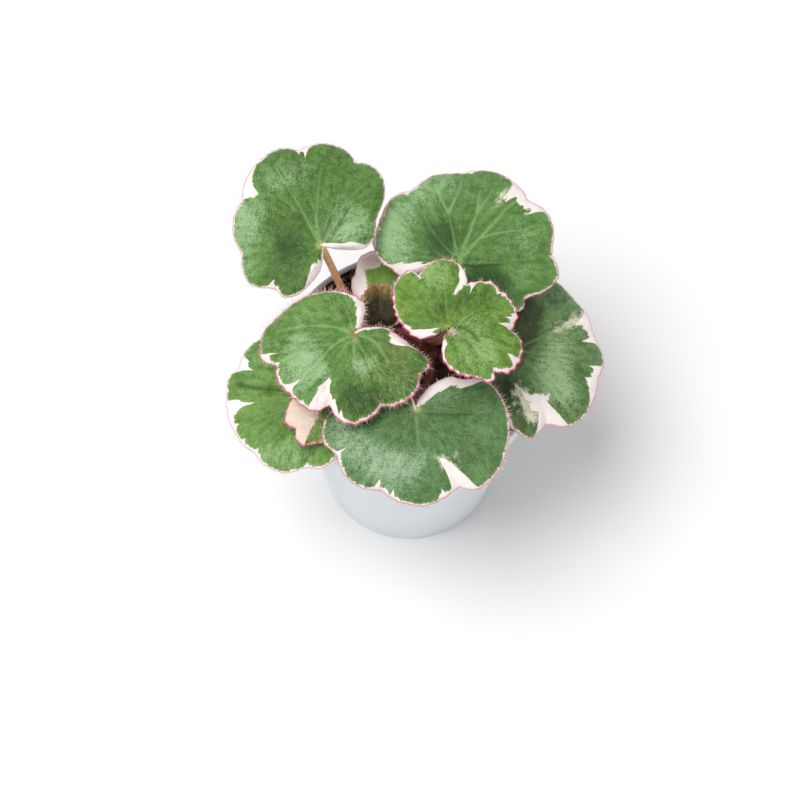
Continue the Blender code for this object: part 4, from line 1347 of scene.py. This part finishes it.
form = Leaf(
    joint=(1.3, -19.8, 12.4), heading=-88, lean_to=-90, lean=12, dome=2.0, waves=(0.8, 3, 200),
    margin=(
        ((-160, 3.4), (-145, 9), (-128, 14.6), (-110, 18.4), (-92, 20.6)),
        ((-84, 22.3), (-73, 23.3), (-63, 21.9)),
        ((-49, 23.2), (-36, 22.9), (-25, 21.1)),
        ((-14, 22.3), (2, 22.9), (15, 22.1), (27, 21)),
        ((36, 24), (52, 24.5), (72, 23.1), (92, 21.5), (111, 18.9), (123, 13.6)),
        ((133, 11.4), (145, 7), (156, 3.2), (180, 0.8)),
    ),
    stalk=(-82, 1.9, 25, 9, 40, 8), teeth=(0.14, 3.0), steps=290,
)
blade = shape_blade(
    "front_blade", form,
    white=(
        (0, 0.5), (0.15, 2.6), (0.3, 2.2), (0.4, 0.8), (0.6, 0.4), (1.2, 0.4), (1.8, 0.5), (1.93, 0.5),
        (1.97, 0.8), (2, 3), (2.03, 1.4), (2.1, 0.8), (2.23, 0.7), (2.5, 0.4), (2.76, 0.6), (2.8, 1),
        (2.84, 0.8), (2.88, 3.3), (2.92, 1), (3, 1), (3.1, 0.9), (3.16, 0.8), (3.18, 2.8), (3.21, 0.9),
        (3.3, 0.5), (3.68, 0.5), (3.73, 1.4), (3.77, 2.3), (3.8, 0.8), (3.88, 0.5), (3.92, 0.9),
        (3.94, 6.8), (3.955, 8.2), (4.02, 7.6), (4.08, 7.6), (4.1, 8.2), (4.12, 7.9), (4.13, 5.8),
        (4.145, 4.2), (4.16, 3.4), (4.165, 1.6), (4.172, 0.6), (4.5, 0.4), (4.8, 0.4), (4.86, 1.4),
        (4.88, 3.5), (4.92, 4.8), (4.97, 3.4), (5.06, 3), (5.15, 5.2), (5.33, 6), (5.45, 6), (5.6, 4),
        (5.75, 2.8), (6, 0.6),
    ),
    pale=(
        ((11, 8.9), (12.8, 9.1), -0.2, -0.5), ((12.8, 9.1), (14.8, 8.9), -0.5, 0.2),
        ((11.6, 4.5), (12.9, 5.5), -0.2, 0.2),
    ),
    veins=(
        ((0, 0.6), (0, 9.8), (-7, 15.5), (-8, 20)), ((72, 0.6), (70, 2.4), (84, 14.3), (88, 18)),
    ),
    faint=(
        ((-77, 0.6), (-77, 12.6), (-70, 18.5)), ((-40, 0.6), (-40, 10), (-42, 17), (-44, 21)),
        ((40, 0.6), (40, 12.9), (44, 20)), ((110, 0.6), (110, 9), (108, 15)),
        ((-112, 0.6), (-112, 9), (-112, 14)), ((0, 8), (12, 15), (14, 20)), ((40, 9), (58, 16), (60, 20)),
    ),
    creases=((0.25, ((70, 2.4), (78, 8), (84, 14.3))),),
    silver_and_painted_light=(
        (6.8, -18.4, 5, 0.65), (9.6, -13.2, 5, 0.55), (13.4, -9.5, 5, 0.8), (12.8, -4.3, 4, 0.6),
        (12.5, 1.7, 4, 0.7), (0.6, -17, 5, 0.3), (-3.1, 7.8, 4, 0.5), (17, -4, 5, 0.55),
        (3.9, -7.5, 6, -0.35), (4.2, 0.8, 5, -0.35), (10.5, 12, 6, -0.35), (16.1, 5.1, 4, -0.4),
        (3.2, 17.6, 5, -0.2),
    ),
    pucker=0.5, ruffle=0.15, seed=6,
)
skin = leaf_finish(
    "front_skin", tone(104, 144, 88), tone(74, 112, 60), tone(132, 166, 112), tone(202, 204, 116),
    0.35, 0.45, 0.35, BLUE_MINT,
)
dress_leaf(
    "front", form, blade, skin, red_stem,
    over=(130, 1.1, 12, 12, 7), fringe=(0.9, 1.1, 4.2, 4.95), seed=26,
)

# The low left leaf lies under the left and front leaves, and mostly its outer half shows. It is light
# green, and its white margin runs in as deep jags.

form = Leaf(
    joint=(-22.6, -11.5, 4.6), heading=200, lean_to=200, lean=12, dome=2.0, waves=(0.7, 4, 90),
    margin=(
        ((-158, 4), (-142, 10), (-122, 16), (-104, 19.4), (-84, 21)),
        ((-72, 23), (-58, 24.3), (-46, 24.2)),
        ((-38, 25.7), (-26, 25), (-13, 24.2)),
        ((0, 22.8), (10, 22.2), (20, 21.2)),
        ((31, 21.8), (45, 21), (61, 18.3)),
        ((72, 18.5), (88, 16.4), (104, 15.4), (124, 12), (144, 7), (180, 0.8)),
    ),
    stalk=(212, 1.5, 12, 12, 42, 9), teeth=(0.14, 3.0), steps=280,
)
blade = shape_blade(
    "low_left_blade", form,
    white=(
        (0, 0.4), (1, 0.4), (1.7, 0.4), (1.78, 0.6), (1.81, 2), (1.83, 3.6), (1.88, 3.2), (1.93, 3.6),
        (1.95, 5.9), (1.98, 3.2), (2.05, 2), (2.1, 1.5), (2.17, 0.4), (2.3, 0.4), (2.48, 0.5),
        (2.51, 1.2), (2.55, 0.5), (2.68, 0.5), (2.71, 3.5), (2.75, 4.6), (2.8, 5.3), (2.84, 8.8),
        (2.87, 5.1), (2.92, 3), (2.99, 1.8), (3.07, 1.5), (3.12, 1.2), (3.17, 2.6), (3.19, 1.1),
        (3.27, 0.6), (3.45, 0.6), (3.57, 0.7), (3.6, 1.7), (3.64, 0.8), (3.81, 0.9), (3.95, 0.7),
        (4.01, 2.3), (4.06, 1), (4.14, 0.9), (4.3, 0.5), (4.95, 0.5), (4.99, 1.1), (5.03, 0.5), (6, 0.4),
    ),
    veins=(
        ((-35, 0.6), (-35, 9.3), (-32, 12.7), (-35, 22)), ((0, 0.6), (2, 10), (-2, 20)),
    ),
    faint=(
        ((30, 0.6), (32, 10), (30, 18)), ((64, 0.6), (62, 9), (66, 15)),
        ((-70, 0.6), (-72, 10), (-76, 18)), ((98, 0.6), (98, 9), (100, 13)),
        ((-108, 0.6), (-108, 9), (-110, 15)), ((2, 10), (14, 16), (12, 20)),
    ),
    creases=((0.5, ((-35, 7), (-32, 12.7), (-35, 20), (-38, 24))),),
    silver_and_painted_light=(
        (11.9, -16.5, 4, 0.5), (18.6, -5.2, 4, 0.3), (18.1, 8.1, 5, 0.6), (11.9, 11.7, 5, 0.6),
        (16.8, -10.9, 4, 0.3), (12.8, -7.8, 2.5, -0.4), (10.1, -4.7, 3, -0.3), (13.9, 2.5, 5, -0.35),
        (9.5, 15.4, 3, 0.3),
    ),
    pucker=0.8, ruffle=0.25, seed=7,
)
skin = leaf_finish(
    "low_left_skin", tone(122, 164, 80), tone(84, 126, 48), tone(146, 182, 104), tone(160, 190, 100),
    0.3, 0.2, 0.25,
)
dress_leaf(
    "low_left", form, blade, skin, red_stem,
    over=(90, 0.8, 8, -8, 10), fringe=(1.4, 0.8, 0, 0), seed=27,
)

# The small left leaf shows between the left, low left and front leaves. It is half cream and half green,
# split along its middle, with a red-pink edge.

form = Leaf(
    joint=(-19.5, -11.6, 9.4), heading=246, lean_to=240, lean=8, dome=1.0, waves=(0.5, 3, 0),
    margin=(
        ((-156, 2.6), (-134, 5.6), (-104, 8), (-76, 9.4), (-50, 9.6)),
        ((-38, 12), (-26, 14.2), (-13, 13.7)),
        ((-8, 15.6), (0, 16.4), (8, 15.2)),
        ((18, 14.6), (32, 14.2), (46, 12.6)),
        ((58, 12.4), (78, 11), (104, 8.6), (132, 5.6), (156, 2.6), (180, 0.7)),
    ),
    stalk=(242, 2.5, 28, 10, 50, 7), teeth=(0.2, 2.2), steps=200,
)
blade = shape_blade(
    "small_left_blade", form,
    white=((0, 0.4), (3, 0.4), (5, 0.4)),
    streaks=(((-4, -13), (18, -13), 14.2, 13.2),),
    veins=(
        ((2, 0.6), (6, 10.7), (0, 15)),
    ),
    faint=(
        ((-38, 0.6), (-36, 8), (-30, 12)), ((40, 0.6), (40, 8), (36, 12)), ((-84, 0.6), (-80, 6)),
        ((84, 0.6), (80, 7)),
    ),
    silver_and_painted_light=((8, 5, 3, 0.2),),
    pucker=0.5, ruffle=0.2, seed=8,
)
skin = leaf_finish(
    "small_left_skin", tone(118, 146, 74), tone(80, 108, 46), tone(196, 186, 110), tone(190, 180, 110),
    0.3, 1.0, 0.5, ivory=tone(240, 222, 198),
)
dress_leaf(
    "small_left", form, blade, skin, red_stem,
    over=(90, 0.6, 8, 0, 8), fringe=(1.3, 0.6, 0, 0), seed=28,
)

# The small back leaf shows between the back left, back right and centre leaves. It is white on its left,
# where the leaf makes no green, and green on its right.

form = Leaf(
    joint=(-6.0, 14.8, 4), heading=105, lean_to=-90, lean=5, dome=1.0, waves=(0.5, 3, 30),
    margin=(
        ((-154, 3), (-134, 7), (-108, 10.6), (-84, 12), (-66, 12.4)),
        ((-52, 14.4), (-34, 15.2), (-18, 14.8)),
        ((-6, 15.7), (9, 15.1), (17, 13.8), (27, 11.7)),
        ((38, 10.9), (52, 9.2), (69, 7)),
        ((92, 6.8), (116, 6), (140, 4.4), (158, 2.4), (180, 0.7)),
    ),
    stalk=(108, 1.4, 20, 7, 30, 6), teeth=(0.15, 2.4), steps=200,
)
blade = shape_blade(
    "small_back_blade", form,
    white=((0, 0.5), (1, 0.6), (2, 2.6), (2.5, 5), (3, 2), (5, 0.6)),
    streaks=(((-3, 12.8), (17, 11.4), 8.4, 9.4), ((13, 4.2), (12.4, 0.4), 2.7, 2.5)),
    veins=(
        ((0, 0.6), (2, 8), (4, 13)),
    ),
    faint=(
        ((-36, 0.6), (-34, 8), (-32, 12)), ((44, 0.6), (42, 6), (44, 9)), ((-80, 0.6), (-80, 7)),
        ((86, 0.6), (86, 5)),
    ),
    silver_and_painted_light=((8, -4, 3, 0.2),),
    pucker=0.5, ruffle=0.15, seed=9,
)
skin = leaf_finish(
    "small_back_skin", tone(136, 178, 84), tone(104, 146, 56), tone(150, 184, 100), tone(160, 180, 100),
    0.3, 0.35, 0.4,
)
dress_leaf(
    "small_back", form, blade, skin, red_stem,
    over=(90, 0.6, 8, 0, 8), fringe=(1.4, 0.6, 0, 0), seed=29,
)

# The newest leaf is still tiny and cupped, and stands close to the crown. It is olive-brown, darkened low
# down with painted shade, with a scalloped edge of bright pink.

form = Leaf(
    joint=(-7.5, 8.6, 6), heading=90, lean_to=-90, lean=24, dome=-0.6, waves=(0.5, 3, 180),
    margin=(
        ((-150, 1.6), (-124, 3.4), (-92, 4.8), (-62, 5.7), (-41, 6.5), (-28, 6.8), (-22, 7.2)),
        ((-17, 8.4), (-12, 8.9), (-5, 8.6), (1, 7.9)),
        ((9, 8.7), (15, 8.9), (22, 8.2), (34, 7.3), (44, 7)),
        ((58, 5.6), (74, 5), (98, 4.4), (128, 3), (152, 1.5), (180, 0.6)),
    ),
    stalk=(134, 4.0, 45, 5, 50, 4), teeth=(0.35, 1.5), steps=160,
)
blade = shape_blade(
    "newest_blade", form,
    white=((0, 0.1), (4, 0.1)),
    veins=(
        ((0, 0.5), (0, 7)),
    ),
    faint=(
        ((-40, 0.5), (-34, 5.5)), ((36, 0.5), (30, 6)),
    ),
    # A dark patch round the joint is painted shade.
    silver_and_painted_light=((0.4, 0, 4.4, -2.8),),
    pucker=0.4, ruffle=0.25, seed=10,
)
skin = leaf_finish(
    "newest_skin", tone(142, 128, 54), tone(118, 94, 42), tone(150, 128, 70), tone(60, 40, 28),
    0.12, 1.0, 0.9, shade=tone(24, 16, 12),
)
dress_leaf(
    "newest", form, blade, skin, red_stem,
    over=(60, 0.5, 4, 0, 4), fringe=(0.9, 0.6, 0, 0), seed=30,
)

# The floor is a plain sheet of matt, pale paper that the pot stands on. It takes the plant's soft shadow,
# and isn't part of the object.

bpy.ops.object.select_all(action="DESELECT")
bpy.ops.mesh.primitive_plane_add(size=8)
floor = bpy.context.object
floor.name = "floor"
paper = Finish("pale_paper", Roughness=0.9, Base_Color=(0.94, 0.935, 0.935, 1))
floor.data.materials.append(paper.material)
floor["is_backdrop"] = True

# The light is a broad, soft light from the upper left and a little in front, in a pale round room that is
# brightest near its horizon.

LIGHT_WAY = Vector((0.36, 0.1, -0.93))
LIGHT_STRENGTH = 1.93
LIGHT_SPREAD = math.radians(36)

lamp = bpy.data.lights.new("soft_light", "SUN")
lamp.energy = LIGHT_STRENGTH
lamp.angle = LIGHT_SPREAD
light = bpy.data.objects.new("soft_light", lamp)
light.rotation_euler = LIGHT_WAY.to_track_quat("-Z", "Y").to_euler()
bpy.context.scene.collection.objects.link(light)
room = bpy.data.worlds.new("pale_room")
room.use_nodes = True
dome = Flow(room.node_tree)
above = dome.node("SeparateXYZ", {}, {0: dome.node("TexCoord", {}, {}, "Generated")}, "Z")
glow = above.rise(0, 0.6).tint((0.92, 0.92, 0.92, 1), (0.47, 0.47, 0.48, 1))
room.node_tree.links.new(glow.socket, room.node_tree.nodes["Background"].inputs["Color"])
bpy.context.scene.world = room
bpy.context.scene.view_settings.view_transform = "Standard"

# The camera looks down on the plant from the front at 62 degrees. It is about half a metre away and has a
# long lens.

VIEW_PLACE = (-2.5 * MM, -219.87 * MM, 450.75 * MM)
VIEW_TILT = math.radians(28)

lens = bpy.data.cameras.new("camera")
lens.lens = 81
lens.sensor_width = 36
camera = bpy.data.objects.new("camera", lens)
camera.location = VIEW_PLACE
camera.rotation_euler = (VIEW_TILT, 0, 0)
bpy.context.scene.collection.objects.link(camera)
bpy.context.scene.camera = camera

low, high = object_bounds()
